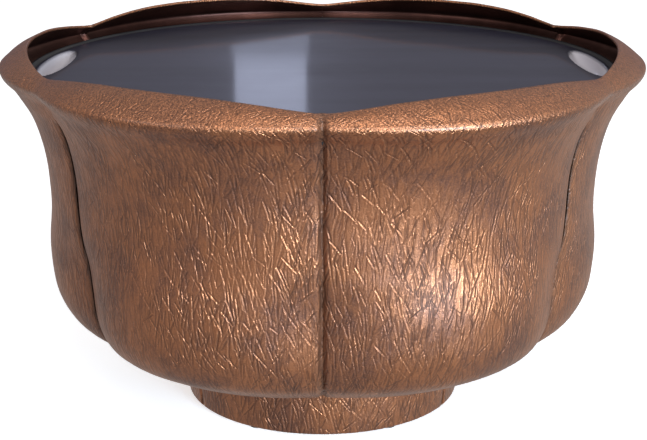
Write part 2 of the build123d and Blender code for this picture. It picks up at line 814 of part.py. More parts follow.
with BuildPart() as riser_sleeve:
    with BuildSketch(Plane(origin=(0, pipe_line, outlet_top - fitting_grip))):
        Circle(sleeve_radius)
        Circle(pipe_radius, mode=Mode.SUBTRACT)
    extrude(amount=2 * fitting_grip)
write_piece(riser_sleeve, "riser_sleeve")

with BuildPart() as riser_pipe:
    with BuildSketch(Plane(origin=(0, pipe_line, outlet_top))):
        Circle(pipe_radius)
        Circle(pipe_bore, mode=Mode.SUBTRACT)
    extrude(amount=branch_height - fitting_stop - outlet_top)
write_piece(riser_pipe, "riser_pipe")

with BuildPart() as tee:
    with BuildSketch(Plane(origin=tee_middle, z_dir=(1, 0, 0))):
        Circle(sleeve_radius)
    extrude(amount=arm_length, both=True)
    with BuildSketch(Plane(origin=tee_middle)):
        Circle(sleeve_radius)
    extrude(amount=-arm_length)
    for direction in ((1, 0, 0), (-1, 0, 0), (0, 0, -1)):
        with BuildSketch(Plane(origin=tee_middle, z_dir=direction)):
            Circle(pipe_bore)
        extrude(amount=arm_length, mode=Mode.SUBTRACT)
        with BuildSketch(Plane(origin=tee_middle, z_dir=direction).offset(fitting_stop)):
            Circle(pipe_radius)
        extrude(amount=fitting_grip, mode=Mode.SUBTRACT)
write_piece(tee, "tee")

socket_top = duct_bottom - socket_gap
socket_bottom = socket_top - socket_length
for side, sign in (("right", 1), ("left", -1)):
    with BuildPart() as branch_pipe:
        with BuildSketch(Plane(origin=tee_middle, z_dir=(sign, 0, 0)).offset(fitting_stop)):
            Circle(pipe_radius)
            Circle(pipe_bore, mode=Mode.SUBTRACT)
        extrude(amount=elbow_reach - 2 * fitting_stop)
    write_piece(branch_pipe, f"branch_pipe_{side}")

    elbow_middle = (sign * elbow_reach, pipe_line, branch_height)
    with BuildPart() as elbow:
        with BuildSketch(Plane(origin=elbow_middle, z_dir=(-sign, 0, 0))):
            Circle(sleeve_radius)
        extrude(amount=arm_length)
        with Locations(elbow_middle):
            Sphere(sleeve_radius)
        with BuildSketch(Plane(origin=elbow_middle)):
            Circle(spigot_radius + socket_clearance + socket_wall)
        extrude(amount=socket_top - branch_height)
        with BuildSketch(Plane(origin=elbow_middle)):
            Circle(pipe_bore)
        extrude(amount=socket_top - branch_height, mode=Mode.SUBTRACT)
        with BuildSketch(Plane(origin=(sign * elbow_reach, pipe_line, socket_bottom))):
            Circle(spigot_radius + socket_clearance)
        extrude(amount=socket_length, mode=Mode.SUBTRACT)
        with BuildSketch(Plane(origin=elbow_middle, z_dir=(-sign, 0, 0))):
            Circle(pipe_bore)
        extrude(amount=arm_length, mode=Mode.SUBTRACT)
        with BuildSketch(Plane(origin=elbow_middle, z_dir=(-sign, 0, 0)).offset(fitting_stop)):
            Circle(pipe_radius)
        extrude(amount=fitting_grip, mode=Mode.SUBTRACT)
        with Locations(elbow_middle):
            Sphere(pipe_bore, mode=Mode.SUBTRACT)
    write_piece(elbow, f"elbow_{side}")

# ---------------------------------------------------------------- cord gland
flange_under = liner_floor + gland_seal_thickness
gland_top = flange_under + gland_flange_thickness
with BuildPart() as gland_body:
    with BuildSketch(Plane.XY.offset(flange_under)):
        with Locations(gland_point):
            Circle(gland_flange_radius)
    extrude(amount=gland_flange_thickness)
    chamfer(gland_body.edges().group_by(Axis.Z)[-1], gland_flange_thickness / 4)
    with BuildSketch(Plane.XY.offset(gland_top)):
        with Locations(gland_point):
            Circle(gland_radius)
    extrude(amount=-gland_length)
    with BuildSketch(Plane.XY.offset(gland_top)):
        with Locations(gland_point):
            Circle(gland_bore)
    extrude(amount=-gland_length, mode=Mode.SUBTRACT)
write_piece(gland_body, "gland_body")

with BuildPart() as gland_seal:
    with BuildSketch(Plane.XY.offset(liner_floor)):
        with Locations(gland_point):
            Circle(gland_flange_radius)
            Circle(gland_radius, mode=Mode.SUBTRACT)
    extrude(amount=gland_seal_thickness)
write_piece(gland_seal, "gland_seal")

with BuildPart() as gland_nut:
    with BuildSketch(Plane.XY.offset(base_bottom)):
        with Locations(gland_point):
            RegularPolygon(gland_nut_radius, 6)
            Circle(gland_radius, mode=Mode.SUBTRACT)
    extrude(amount=-gland_nut_height)
write_piece(gland_nut, "gland_nut")
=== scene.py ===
"""Looks of a petal-shaped tabletop fountain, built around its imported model.

The vessel is pressed copper with straw-like strokes, the plate is dark brushed metal, and the pump,
pipes and fixings inside are moulded plastic, rubber and steel. All lengths are in metres.
"""

import json
import math

import bmesh
import bpy
from bpy.props import FloatProperty, FloatVectorProperty, IntProperty, PointerProperty
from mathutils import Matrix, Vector


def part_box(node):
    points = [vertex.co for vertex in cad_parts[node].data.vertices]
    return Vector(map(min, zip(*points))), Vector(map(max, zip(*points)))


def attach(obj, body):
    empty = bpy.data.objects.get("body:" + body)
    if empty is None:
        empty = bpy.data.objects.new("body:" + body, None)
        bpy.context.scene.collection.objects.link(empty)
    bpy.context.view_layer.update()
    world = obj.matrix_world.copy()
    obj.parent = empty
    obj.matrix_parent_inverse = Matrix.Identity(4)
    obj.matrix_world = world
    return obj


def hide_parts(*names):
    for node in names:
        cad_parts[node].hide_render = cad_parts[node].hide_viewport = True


bl_info = {
    "name": "Petal Fountain",
    "version": (1, 0, 0),
    "blender": (4, 5, 0),
    "location": "3D View > Sidebar > Fountain",
    "description": "Builds the copper vessel, its plate and the pump's pieces around the packed model",
    "category": "Add Mesh",
}

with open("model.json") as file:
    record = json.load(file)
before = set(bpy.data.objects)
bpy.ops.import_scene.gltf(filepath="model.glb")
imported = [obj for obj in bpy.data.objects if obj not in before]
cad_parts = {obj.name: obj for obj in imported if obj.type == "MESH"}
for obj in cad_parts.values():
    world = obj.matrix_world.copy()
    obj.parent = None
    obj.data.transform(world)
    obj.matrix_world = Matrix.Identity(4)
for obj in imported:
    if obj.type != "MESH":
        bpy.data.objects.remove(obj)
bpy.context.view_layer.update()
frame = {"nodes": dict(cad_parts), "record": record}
MM = 0.001
PER_METRE = 1000.0
TAU = 2 * math.pi


# ---------------------------------------------------------------- places read from the frame
def joined_box(*nodes):
    """Lowest and highest corners round several CAD nodes."""
    boxes = [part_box(node) for node in nodes]
    low = Vector(min(box[0][i] for box in boxes) for i in range(3))
    high = Vector(max(box[1][i] for box in boxes) for i in range(3))
    return low, high


def half_width(node):
    """Half of a CAD node's size along X."""
    low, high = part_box(node)
    return (high[0] - low[0]) / 2


PANELS = {"panel_front": -90, "panel_right_rear": 30, "panel_left_rear": 150}
SEGMENTS = {"foot_front": -90, "foot_right_rear": 30, "foot_left_rear": 150}
VESSEL_HIGH = joined_box(*PANELS)[1]
FOOT_LOW, FOOT_HIGH = joined_box(*SEGMENTS)
PLATE_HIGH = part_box("plate")[1]


# ---------------------------------------------------------------- settings
class VesselSettings(bpy.types.PropertyGroup):
    """Sizes of the copper vessel and its foot."""

    fold_radius: FloatProperty(
        name="Fold Radius", description="Middle of a petal at its widest line",
        default=VESSEL_HIGH.x, unit="LENGTH")
    fold_height: FloatProperty(
        name="Fold Height", description="Height of the widest line",
        default=VESSEL_HIGH.z - 0.0143, unit="LENGTH")
    fold_valley: FloatProperty(
        name="Fold Valley", description="How far a valley lies inside the petals at the widest line",
        default=0.0115, unit="LENGTH")
    opening_radius: FloatProperty(
        name="Opening Radius", description="Round opening inside the lip", default=0.160, unit="LENGTH")
    valley_rise: FloatProperty(
        name="Valley Rise", description="Rise of the lip above the fold at a valley",
        default=0.0067, unit="LENGTH")
    wall: FloatProperty(
        name="Sheet", description="Thickness of the copper sheet", default=0.0015, unit="LENGTH")
    groove_depth: FloatProperty(
        name="Groove Depth", description="Pressed line along a closed valley",
        default=0.0026, unit="LENGTH")
    groove_width: FloatProperty(
        name="Groove Width", description="Half width of that line", default=0.0017, unit="LENGTH")
    seam_gap: FloatProperty(
        name="Seam Gap", description="Half of the open gap between two panels",
        default=0.0015, unit="LENGTH")
    seam_roll: FloatProperty(
        name="Seam Roll", description="How far a panel's side edges turn in", default=0.0014, unit="LENGTH")
    columns: IntProperty(name="Columns", description="Vertices across a panel", default=201)
    rows: IntProperty(name="Rows", description="Vertices up a panel", default=121)
    copper: FloatVectorProperty(
        name="Copper", description="Bright worn copper", subtype="COLOR", size=3,
        default=(0.475, 0.191, 0.088))
    patina: FloatVectorProperty(
        name="Patina", description="Dark brown patina", subtype="COLOR", size=3,
        default=(0.225, 0.102, 0.068))
    # Painted shade: the inner face is a darker copy of the copper, standing for the shade inside the vessel.
    shade: FloatVectorProperty(
        name="Inside", description="Dark inner face of the sheet", subtype="COLOR", size=3,
        default=(0.085, 0.037, 0.029))


class PlateSettings(bpy.types.PropertyGroup):
    """Sizes of the plate and its wells."""

    well_turn: FloatProperty(
        name="Well Turn", description="How far the wells lie behind the X axis",
        default=math.radians(4), unit="ROTATION")
    well_width: FloatProperty(name="Well Width", description="Across a well", default=0.0148, unit="LENGTH")
    well_length: FloatProperty(name="Well Length", description="Along a well", default=0.074, unit="LENGTH")
    well_depth: FloatProperty(
        name="Well Depth", description="Depth of a well", default=0.0065, unit="LENGTH")
    well_edge: FloatProperty(
        name="Well Edge", description="Between a well and the plate's edge", default=0.002, unit="LENGTH")
    metal: FloatVectorProperty(
        name="Metal", description="Dark metal of the plate", subtype="COLOR", size=3,
        default=(0.034, 0.032, 0.050))
    # Painted reflection: a pale colour in the wells that stands for the bright surroundings mirrored on
    # their slopes.
    wear_and_reflection: FloatVectorProperty(
        name="Painted Well Reflection", description="Pale worn metal in the wells", subtype="COLOR", size=3,
        default=(0.62, 0.58, 0.62))


# ---------------------------------------------------------------- node trees
class Field:
    """A value in a node tree that can be used in a formula."""

    def __init__(self, wiring, socket):
        self.wiring = wiring
        self.socket = socket

    def _math(self, operation, *others):
        return self.wiring.math(operation, self, *others)

    def __add__(self, other):
        return self._math("ADD", other)

    def __sub__(self, other):
        return self._math("SUBTRACT", other)

    def __rsub__(self, other):
        return self.wiring.math("SUBTRACT", other, self)

    def __mul__(self, other):
        return self._math("MULTIPLY", other)

    def __truediv__(self, other):
        return self._math("DIVIDE", other)

    __radd__ = __add__
    __rmul__ = __mul__


class Wiring:
    """Adds nodes to a tree and joins them."""

    def __init__(self, tree):
        self.tree = tree

    def feed(self, socket, value):
        """Joins a value's socket, or sets a plain value."""
        if isinstance(value, Field):
            value = value.socket
        if isinstance(value, bpy.types.NodeSocket):
            self.tree.links.new(value, socket)
        else:
            socket.default_value = value

    def add(self, kind, inputs=None, **settings):
        """A new node. Inputs are keyed by name or index."""
        node = self.tree.nodes.new(kind)
        for key, value in settings.items():
            setattr(node, key, value)
        for key, value in (inputs or {}).items():
            self.feed(node.inputs[key], value)
        return node

    def then(self, geometry, kind, inputs=None, **settings):
        """A geometry node that takes this geometry first. Gives its first output."""
        node = self.add(kind, inputs, **settings)
        self.feed(node.inputs[0], geometry)
        return node.outputs[0]

    def math(self, operation, *values, clamp=False):
        """A Math node's result."""
        node = self.add(
            "ShaderNodeMath", dict(enumerate(values)), operation=operation, use_clamp=clamp)
        return Field(self, node.outputs[0])

    def vector(self, operation, *values):
        """A Vector Math node's result."""
        node = self.add("ShaderNodeVectorMath", dict(enumerate(values)), operation=operation)
        return Field(self, node.outputs["Value" if operation in ("LENGTH", "DOT_PRODUCT") else "Vector"])

    def step(self, value, low, high, first=0.0, last=1.0):
        """A smooth step of a value from low to high."""
        inputs = {0: value, 1: low, 2: high, 3: first, 4: last}
        node = self.add("ShaderNodeMapRange", inputs, interpolation_type="SMOOTHSTEP")
        return Field(self, node.outputs[0])

    def mix(self, share, first, last, blend="MIX"):
        """A mix of two colours."""
        node = self.add("ShaderNodeMix", data_type="RGBA", blend_type=blend)
        self.feed(node.inputs[0], share)
        self.feed(node.inputs[6], first)
        self.feed(node.inputs[7], last)
        return Field(self, node.outputs[2])

    def noise(self, vector, scale, detail=2.0, roughness=0.5):
        """A Noise node's value."""
        inputs = {"Vector": vector, "Scale": scale, "Detail": detail, "Roughness": roughness}
        return Field(self, self.add("ShaderNodeTexNoise", inputs).outputs[0])

    def group(self, tree, inputs):
        """A shader node group in this tree."""
        node = self.add("ShaderNodeGroup", node_tree=tree)
        for key, value in inputs.items():
            self.feed(node.inputs[key], value)
        return node


def new_group(name, kind, inputs, outputs):
    """A node group with named sockets, its wiring, and its inputs as fields."""
    tree = bpy.data.node_groups.new(name, kind)
    for socket, (socket_type, default) in inputs.items():
        item = tree.interface.new_socket(socket, in_out="INPUT", socket_type=socket_type)
        if default is not None:
            item.default_value = default
    for socket, socket_type in outputs.items():
        tree.interface.new_socket(socket, in_out="OUTPUT", socket_type=socket_type)
    wiring = Wiring(tree)
    given = wiring.add("NodeGroupInput")
    return wiring, {socket: Field(wiring, given.outputs[socket]) for socket in inputs}


def close_group(wiring, outputs):
    """Joins a group's results to its output node."""
    wiring.add("NodeGroupOutput", outputs)
    return wiring.tree


NUMBER, WHOLE = "NodeSocketFloat", "NodeSocketInt"
VECTOR, GEOMETRY = "NodeSocketVector", "NodeSocketGeometry"


def stroke_layer_group():
    """One straw-like pressed stroke in each cell of a loose grid."""
    wiring, given = new_group("Stroke Layer", "ShaderNodeTree", {
        "Vector": (VECTOR, None), "Cell Width": (NUMBER, 8.0), "Cell Height": (NUMBER, 16.0),
        "Spread": (NUMBER, 1.4), "Width": (NUMBER, 0.5), "Length": (NUMBER, 8.0), "Seed": (NUMBER, 0.0),
    }, {"Height": NUMBER, "Mask": NUMBER})
    cell = wiring.add("ShaderNodeCombineXYZ", {
        0: given["Cell Width"], 1: given["Cell Height"], 2: 1.0}).outputs[0]
    shift = wiring.add("ShaderNodeCombineXYZ", {0: given["Seed"], 1: given["Seed"] * 1.7, 2: 0.0}).outputs[0]
    place = wiring.vector("ADD", wiring.vector("DIVIDE", given["Vector"], cell), shift)
    cells = wiring.add("ShaderNodeTexVoronoi", {"Vector": place, "Scale": 1.0, "Randomness": 1.0},
                       voronoi_dimensions="2D", feature="F1")
    local = wiring.vector("MULTIPLY", wiring.vector("SUBTRACT", place, cells.outputs["Position"]), cell)
    parts = wiring.add("ShaderNodeSeparateXYZ", {0: local}).outputs
    draws = wiring.add("ShaderNodeSeparateColor", {0: cells.outputs["Color"]}).outputs
    chance = [Field(wiring, draw) for draw in draws]
    x, y = Field(wiring, parts[0]), Field(wiring, parts[1])
    lean = (chance[0] - 0.5) * given["Spread"]
    sine, cosine = wiring.math("SINE", lean), wiring.math("COSINE", lean)
    along = y * cosine - x * sine
    across = x * cosine + y * sine + (chance[2] - 0.5) * along * along * 0.02
    reach = given["Length"] * (chance[1] * 0.6 + 0.6)
    ends = 1.0 - wiring.step(wiring.math("ABSOLUTE", along), reach * 0.75, reach)
    trough = 1.0 - wiring.step(wiring.math("ABSOLUTE", across), given["Width"] * 0.1, given["Width"])
    burr_side = wiring.math("ABSOLUTE", across + given["Width"] * 1.3)
    burr = 1.0 - wiring.step(burr_side, 0.0, given["Width"])
    force = ends * (chance[2] * 0.5 + 0.5)
    return close_group(wiring, {"Height": (burr * 0.7 - trough) * force, "Mask": trough * force})


def stroke_field_group(layer):
    """Six crossing layers of strokes of different sizes."""
    wiring, given = new_group("Stroke Field", "ShaderNodeTree", {
        "Vector": (VECTOR, None), "Coverage": (NUMBER, 1.0), "Seed": (NUMBER, 0.0),
    }, {"Height": NUMBER, "Mask": NUMBER})
    sizes = [(5.5, 16.0, 0.9, 0.85, 8.5), (7.0, 13.0, 1.6, 0.76, 7.0), (4.5, 19.0, 0.6, 0.80, 10.0),
             (7.5, 11.0, 2.0, 0.68, 6.0), (3.8, 11.0, 0.8, 0.64, 5.5), (4.8, 14.0, 1.2, 0.70, 7.5)]
    height = mask = None
    for n, (width, tall, spread, thick, length) in enumerate(sizes):
        node = wiring.group(layer, {
            "Vector": given["Vector"], "Cell Width": width, "Cell Height": tall, "Spread": spread,
            "Width": thick, "Length": length, "Seed": given["Seed"] + 3.37 * (n + 1)})
        one, shown = (Field(wiring, output) for output in node.outputs)
        height = one if height is None else height + one
        mask = shown if mask is None else wiring.math("MAXIMUM", mask, shown)
    clumps = wiring.step(wiring.noise(given["Vector"], 0.035, 2.0), 0.30, 0.60, 0.45, 1.0)
    amount = clumps * given["Coverage"]
    return close_group(wiring, {"Height": height * amount, "Mask": mask * amount})


def mottle_group():
    """Cloudy patina and fine grain from a position in millimetres."""
    wiring, given = new_group("Patina Mottle", "ShaderNodeTree", {
        "Vector": (VECTOR, None), "Cloud Size": (NUMBER, 40.0), "Grain Size": (NUMBER, 1.5),
    }, {"Cloud": NUMBER, "Grain": NUMBER, "Streak": NUMBER})
    cloud = wiring.noise(given["Vector"], wiring.math("DIVIDE", 1.0, given["Cloud Size"]), 5.0, 0.62)
    grain = wiring.noise(given["Vector"], wiring.math("DIVIDE", 1.0, given["Grain Size"]), 3.0, 0.6)
    stretched = wiring.vector("MULTIPLY", given["Vector"], (0.45, 0.45, 0.06))
    streak = wiring.noise(stretched, 1.0, 4.0, 0.6)
    return close_group(wiring, {"Cloud": cloud, "Grain": grain, "Streak": streak})


class Shaders:
    """The shared shader groups, built once."""

    groups = {}

    @classmethod
    def get(cls, name):
        if not cls.groups:
            layer = stroke_layer_group()
            cls.groups = {"strokes": stroke_field_group(layer), "mottle": mottle_group()}
        return cls.groups[name]


def new_material(name):
    """A material, its wiring and its Principled BSDF."""
    material = bpy.data.materials.new(name)
    material.use_nodes = True
    wiring = Wiring(material.node_tree)
    shader = material.node_tree.nodes["Principled BSDF"]
    return material, wiring, shader


def bump(wiring, shader, height, strength, distance):
    """Feeds a height into the shader's normal."""
    node = wiring.add("ShaderNodeBump", {"Height": height, "Strength": strength, "Distance": distance})
    wiring.feed(shader.inputs["Normal"], node.outputs[0])


def tinted(color, factor=1.0):
    """A colour made darker or brighter, with full alpha."""
    return (*(min(1.0, channel * factor) for channel in color), 1.0)


def object_millimetres(wiring):
    """The place on the object in millimetres."""
    place = wiring.add("ShaderNodeTexCoord").outputs["Object"]
    return wiring.vector("MULTIPLY", place, (PER_METRE,) * 3)


def zone_field(wiring, name):
    """A zone that the mesh carries as an attribute."""
    return Field(wiring, wiring.add("ShaderNodeAttribute", attribute_name=name).outputs["Fac"])


def mottle_fields(wiring, cloud_size, grain_size):
    """Clouds, grain and upright streaks on the object, for features of these sizes in millimetres."""
    mottle = wiring.group(Shaders.get("mottle"), {
        "Vector": object_millimetres(wiring), "Cloud Size": cloud_size, "Grain Size": grain_size})
    return [Field(wiring, output) for output in mottle.outputs]


COPPER_METALLIC = 0.95
COPPER_LACQUER = 0.45
STROKE_DEPTH = 0.23
STREAK_DEPTH = 0.15


def copper_material(name, settings, lip_and_crease_shade=True):
    """Lacquered antique copper: strokes pressed into it, patina in clouds, bright worn burrs.

    The panels carry two zones: their lip, and the creases, where painted shade goes near black at the open
    seams and along the closed valley.
    """
    material, wiring, shader = new_material(name)
    shader.inputs["Metallic"].default_value = COPPER_METALLIC
    shader.inputs["Coat Weight"].default_value = COPPER_LACQUER
    shader.inputs["Coat Roughness"].default_value = 0.32
    place = wiring.add("ShaderNodeUVMap", uv_map="UVMap").outputs[0]
    flat = wiring.vector("MULTIPLY", place, (PER_METRE, PER_METRE, 0.0))
    lip = zone_field(wiring, "Lip") if lip_and_crease_shade else 0.0
    pressed = wiring.math("SUBTRACT", 1.0, wiring.math("MULTIPLY", lip, 0.45))
    strokes = wiring.group(Shaders.get("strokes"), {"Vector": flat, "Coverage": pressed, "Seed": 0.0})
    height, mask = (Field(wiring, output) for output in strokes.outputs)
    cloud, grain, streak = mottle_fields(wiring, 34.0, 0.85)
    ridge = wiring.step(height, 0.12, 0.75)
    wear_and_reflection = wiring.step(cloud * 0.7 + streak * 0.3, 0.36, 0.60)
    tone = wiring.mix(wear_and_reflection, tinted(settings.patina), tinted(settings.copper))
    tone = wiring.mix(wiring.math("MULTIPLY", lip, 0.60), tone, tinted(settings.copper, 0.56))
    speckle = wiring.step(grain, 0.42, 0.62)
    stipple = wiring.math("ADD", 0.24, wiring.math("MULTIPLY", lip, 0.30))
    bright = tinted(settings.copper, 1.5)
    dark = tinted(settings.patina, 0.30)
    tone = wiring.mix(speckle * stipple, tone, bright)
    tone = wiring.mix(wiring.step(grain, 0.46, 0.30) * stipple, tone, dark)
    tone = wiring.mix(ridge * 0.24, tone, bright)
    tone = wiring.mix(mask * 0.54, tone, dark)
    if lip_and_crease_shade:
        # Painted shade: the creases go near black and lose their metal sheen and lacquer, standing for the
        # shadow in the seams and the valley groove.
        painted_crease_shade = zone_field(wiring, "Crease")
        tone = wiring.mix(painted_crease_shade * 0.92, tone, tinted(settings.patina, 0.06))
        wiring.feed(shader.inputs["Metallic"], COPPER_METALLIC - painted_crease_shade * 0.8)
        wiring.feed(shader.inputs["Coat Weight"], COPPER_LACQUER - painted_crease_shade * COPPER_LACQUER)
    wiring.feed(shader.inputs["Base Color"], tone)
    rough = wiring.step(cloud, 0.3, 0.7, 0.44, 0.38) + mask * 0.10 - ridge * 0.04
    if lip_and_crease_shade:
        rough = rough - lip * (1.0 - lip) * 0.55
    wiring.feed(shader.inputs["Roughness"], rough)
    beaten = grain * wiring.math("ADD", 0.16, wiring.math("MULTIPLY", lip, 0.26))
    bump(wiring, shader, height * STROKE_DEPTH + beaten + streak * STREAK_DEPTH, 1.0, MM)
    return material


def inside_material(settings):
    """The sheet's inner face: a darker copy of the copper, painted shade for the inside of the vessel."""
    material, wiring, shader = new_material("Shaded Copper Inside")
    shader.inputs["Metallic"].default_value = COPPER_METALLIC
    cloud, grain, _ = mottle_fields(wiring, 22.0, 1.2)
    tone = wiring.mix(wiring.step(cloud, 0.35, 0.7), tinted(settings.shade, 0.8),
                      tinted(settings.shade, 1.25))
    wiring.feed(shader.inputs["Base Color"], tone)
    wiring.feed(shader.inputs["Roughness"], grain * 0.15 + 0.34)
    bump(wiring, shader, grain * 0.1 + cloud * 0.2, 0.5, MM)
    return material


BRUSHING = (
    # features to the metre along each axis, detail, roughness: fine lines, broad bands, smears
    ((9.0, 1400.0, 900.0), 4.0, 0.6), ((4.0, 60.0, 60.0), 3.0, 0.5), ((14.0, 14.0, 14.0), 3.0, 0.5))


def plate_material(settings):
    """Dark blue-grey metal, brushed left to right under a clear lacquer, with a pale painted reflection
    inside the wells.
    """
    material, wiring, shader = new_material("Dark Brushed Plate")
    shader.inputs["Metallic"].default_value = 0.40
    shader.inputs["Coat Weight"].default_value = 0.36
    shader.inputs["Coat Roughness"].default_value = 0.08
    place = wiring.add("ShaderNodeTexCoord").outputs["Object"]
    brushed, broad, smear = (
        wiring.noise(wiring.vector("MULTIPLY", place, scale), 1.0, detail, roughness)
        for scale, detail, roughness in BRUSHING)
    well = zone_field(wiring, "Well")
    tone = wiring.mix(wiring.step(broad * 0.5 + brushed * 0.5, 0.35, 0.65),
                      tinted(settings.metal, 0.80), tinted(settings.metal, 1.22))
    # Painted reflection: the wells' insides are pale, standing for the bright surroundings mirrored on their
    # slopes.
    pale = wiring.mix(smear, tinted(settings.wear_and_reflection, 0.8), tinted(settings.wear_and_reflection))
    tone = wiring.mix(well, tone, pale)
    wiring.feed(shader.inputs["Base Color"], tone)
    wiring.feed(shader.inputs["Roughness"], wiring.step(smear, 0.3, 0.7, 0.38, 0.46) + brushed * 0.05)
    bump(wiring, shader, brushed, 0.06, 0.0004)
    return material


def moulded_material(name, color, roughness=0.45, grain=0.3, metallic=0.0, grain_size=0.35):
    """Moulded plastic, rubber or plain metal with a fine grain."""
    material, wiring, shader = new_material(name)
    shader.inputs["Metallic"].default_value = metallic
    cloud, fine, _ = mottle_fields(wiring, 9.0, grain_size)
    tone = wiring.mix(wiring.step(cloud, 0.3, 0.7), tinted(color, 0.82), tinted(color, 1.15))
    wiring.feed(shader.inputs["Base Color"], tone)
    wiring.feed(shader.inputs["Roughness"], cloud * 0.14 + (roughness - 0.07))
    bump(wiring, shader, fine, grain, 0.0002)
    return material


# ---------------------------------------------------------------- mesh helpers
def new_object(name, verts, faces, material, uvs=None):
    """A mesh object with smooth faces. uvs holds one pair for each face corner, in face order."""
    mesh = bpy.data.meshes.new(name)
    mesh.from_pydata([tuple(v) for v in verts], [], faces)
    mesh.materials.append(material)
    if uvs is not None:
        layer = mesh.uv_layers.new(name="UVMap")
        layer.data.foreach_set("uv", [value for pair in uvs for value in pair])
    mesh.shade_smooth()
    piece = bpy.data.objects.new(name, mesh)
    bpy.context.scene.collection.objects.link(piece)
    return piece


def bake_modifiers(piece):
    """Turns a piece's modifiers into its plain mesh."""
    depsgraph = bpy.context.evaluated_depsgraph_get()
    mesh = bpy.data.meshes.new_from_object(piece.evaluated_get(depsgraph), depsgraph=depsgraph)
    piece.modifiers.clear()
    piece.data = mesh
    return piece


def ease_edges(piece, width, segments=2, angle=40):
    """Rounds a piece's sharp edges and bakes the result."""
    bevel = piece.modifiers.new("Eased edges", "BEVEL")
    bevel.width = width
    bevel.segments = segments
    bevel.limit_method = "ANGLE"
    bevel.angle_limit = math.radians(angle)
    bevel.harden_normals = True
    return bake_modifiers(piece)


def round_corners(points, radius, steps=4):
    """A closed outline with its corners rounded. radius is one number, or one for each corner."""
    radii = radius if isinstance(radius, (list, tuple)) else [radius] * len(points)
    rounded = []
    for n, corner in enumerate(points):
        here = Vector(corner)
        back = Vector(points[n - 1]) - here
        on = Vector(points[(n + 1) % len(points)]) - here
        reach = min(radii[n], back.length / 2.05, on.length / 2.05)
        first, last = here + back.normalized() * reach, here + on.normalized() * reach
        for k in range(steps + 1):
            t = k / steps
            rounded.append((1 - t) ** 2 * first + 2 * t * (1 - t) * here + t * t * last)
    return rounded


def lathe(name, outline, material, start=0.0, end=TAU, columns=96, shape=None):
    """A closed outline of (radius, height) turned about an upright line. It runs anticlockwise."""
    whole = end - start > TAU - 1e-6
    count = columns if whole else columns + 1
    lengths = [0.0]
    for n in range(len(outline)):
        lengths.append(lengths[-1] + (Vector(outline[(n + 1) % len(outline)]) - Vector(outline[n])).length)
    verts, faces, uvs = [], [], []
    for c in range(count):
        turn = start + (end - start) * c / columns
        for radius, height in outline:
            point = Vector((radius * math.cos(turn), radius * math.sin(turn), height))
            verts.append(shape(point) if shape else point)
    size = len(outline)
    mean = sum(radius for radius, height in outline) / size
    for c in range(columns):
        for n in range(size):
            a, b = c * size, (c + 1) % count * size
            m = (n + 1) % size
            faces.append((a + n, b + n, b + m, a + m))
            u0, u1 = (start + (end - start) * k / columns for k in (c, c + 1))
            u0, u1 = u0 * mean, u1 * mean
            uvs += [(u0, lengths[n]), (u1, lengths[n]), (u1, lengths[n + 1]), (u0, lengths[n + 1])]
    if not whole:
        last = columns * size
        for cap in (tuple(range(size)), tuple(last + n for n in reversed(range(size)))):
            faces.append(cap)
            uvs += [(verts[n].x, verts[n].z) for n in cap]
    return new_object(name, verts, faces, material, uvs)


def ride_and_replace(piece, body, slot, *nodes):
    """Puts a piece on its body in place of its CAD nodes."""
    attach(piece, body)
    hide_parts(*nodes)


def follow_node(piece, node):
    """Puts a piece on the body of the one CAD node that it replaces."""
    bodies = frame["record"]["behaviour"]["bodies"]
    body = next(body for body, nodes in bodies.items() if node in nodes)
    slot = next(entry["material_slot"] for entry in frame["record"]["subparts"] if entry["node"] == node)
    ride_and_replace(piece, body, slot, node)


# ---------------------------------------------------------------- vessel panels
PROFILE = [
    # share along the side, share of the height, share of the way out, depth of the valleys
    (0.0, 0.0, 0.0, 0.0),
    (0.126, 0.06, 0.26, 0.0035),
    (0.248, 0.108, 0.52, 0.0060),
    (0.370, 0.215, 0.72, 0.0115),
    (0.486, 0.365, 0.765, 0.0125),
    (0.654, 0.585, 0.745, 0.0050),
    (0.812, 0.79, 0.79, 0.0065),
    (0.934, 0.935, 0.905, 0.0095),
    (1.0, 1.0, 1.0, 0.0115),
]
VALLEY_SCALE = 0.02
MEAN_RADIUS, SIDE_LENGTH = 0.15, 0.234


def curve_of(wiring, value, column, scale=1.0):
    """A Float Curve node that follows one column of the profile."""
    node = wiring.add("ShaderNodeFloatCurve", {"Factor": 1.0, "Value": value})
    curve = node.mapping.curves[0]
    points = [(row[0], row[column] / scale) for row in PROFILE]
    curve.points[0].location = points[0]
    curve.points[1].location = points[-1]
    for point in points[1:-1]:
        curve.points.new(*point)
    node.mapping.update()
    return Field(wiring, node.outputs[0]) * scale


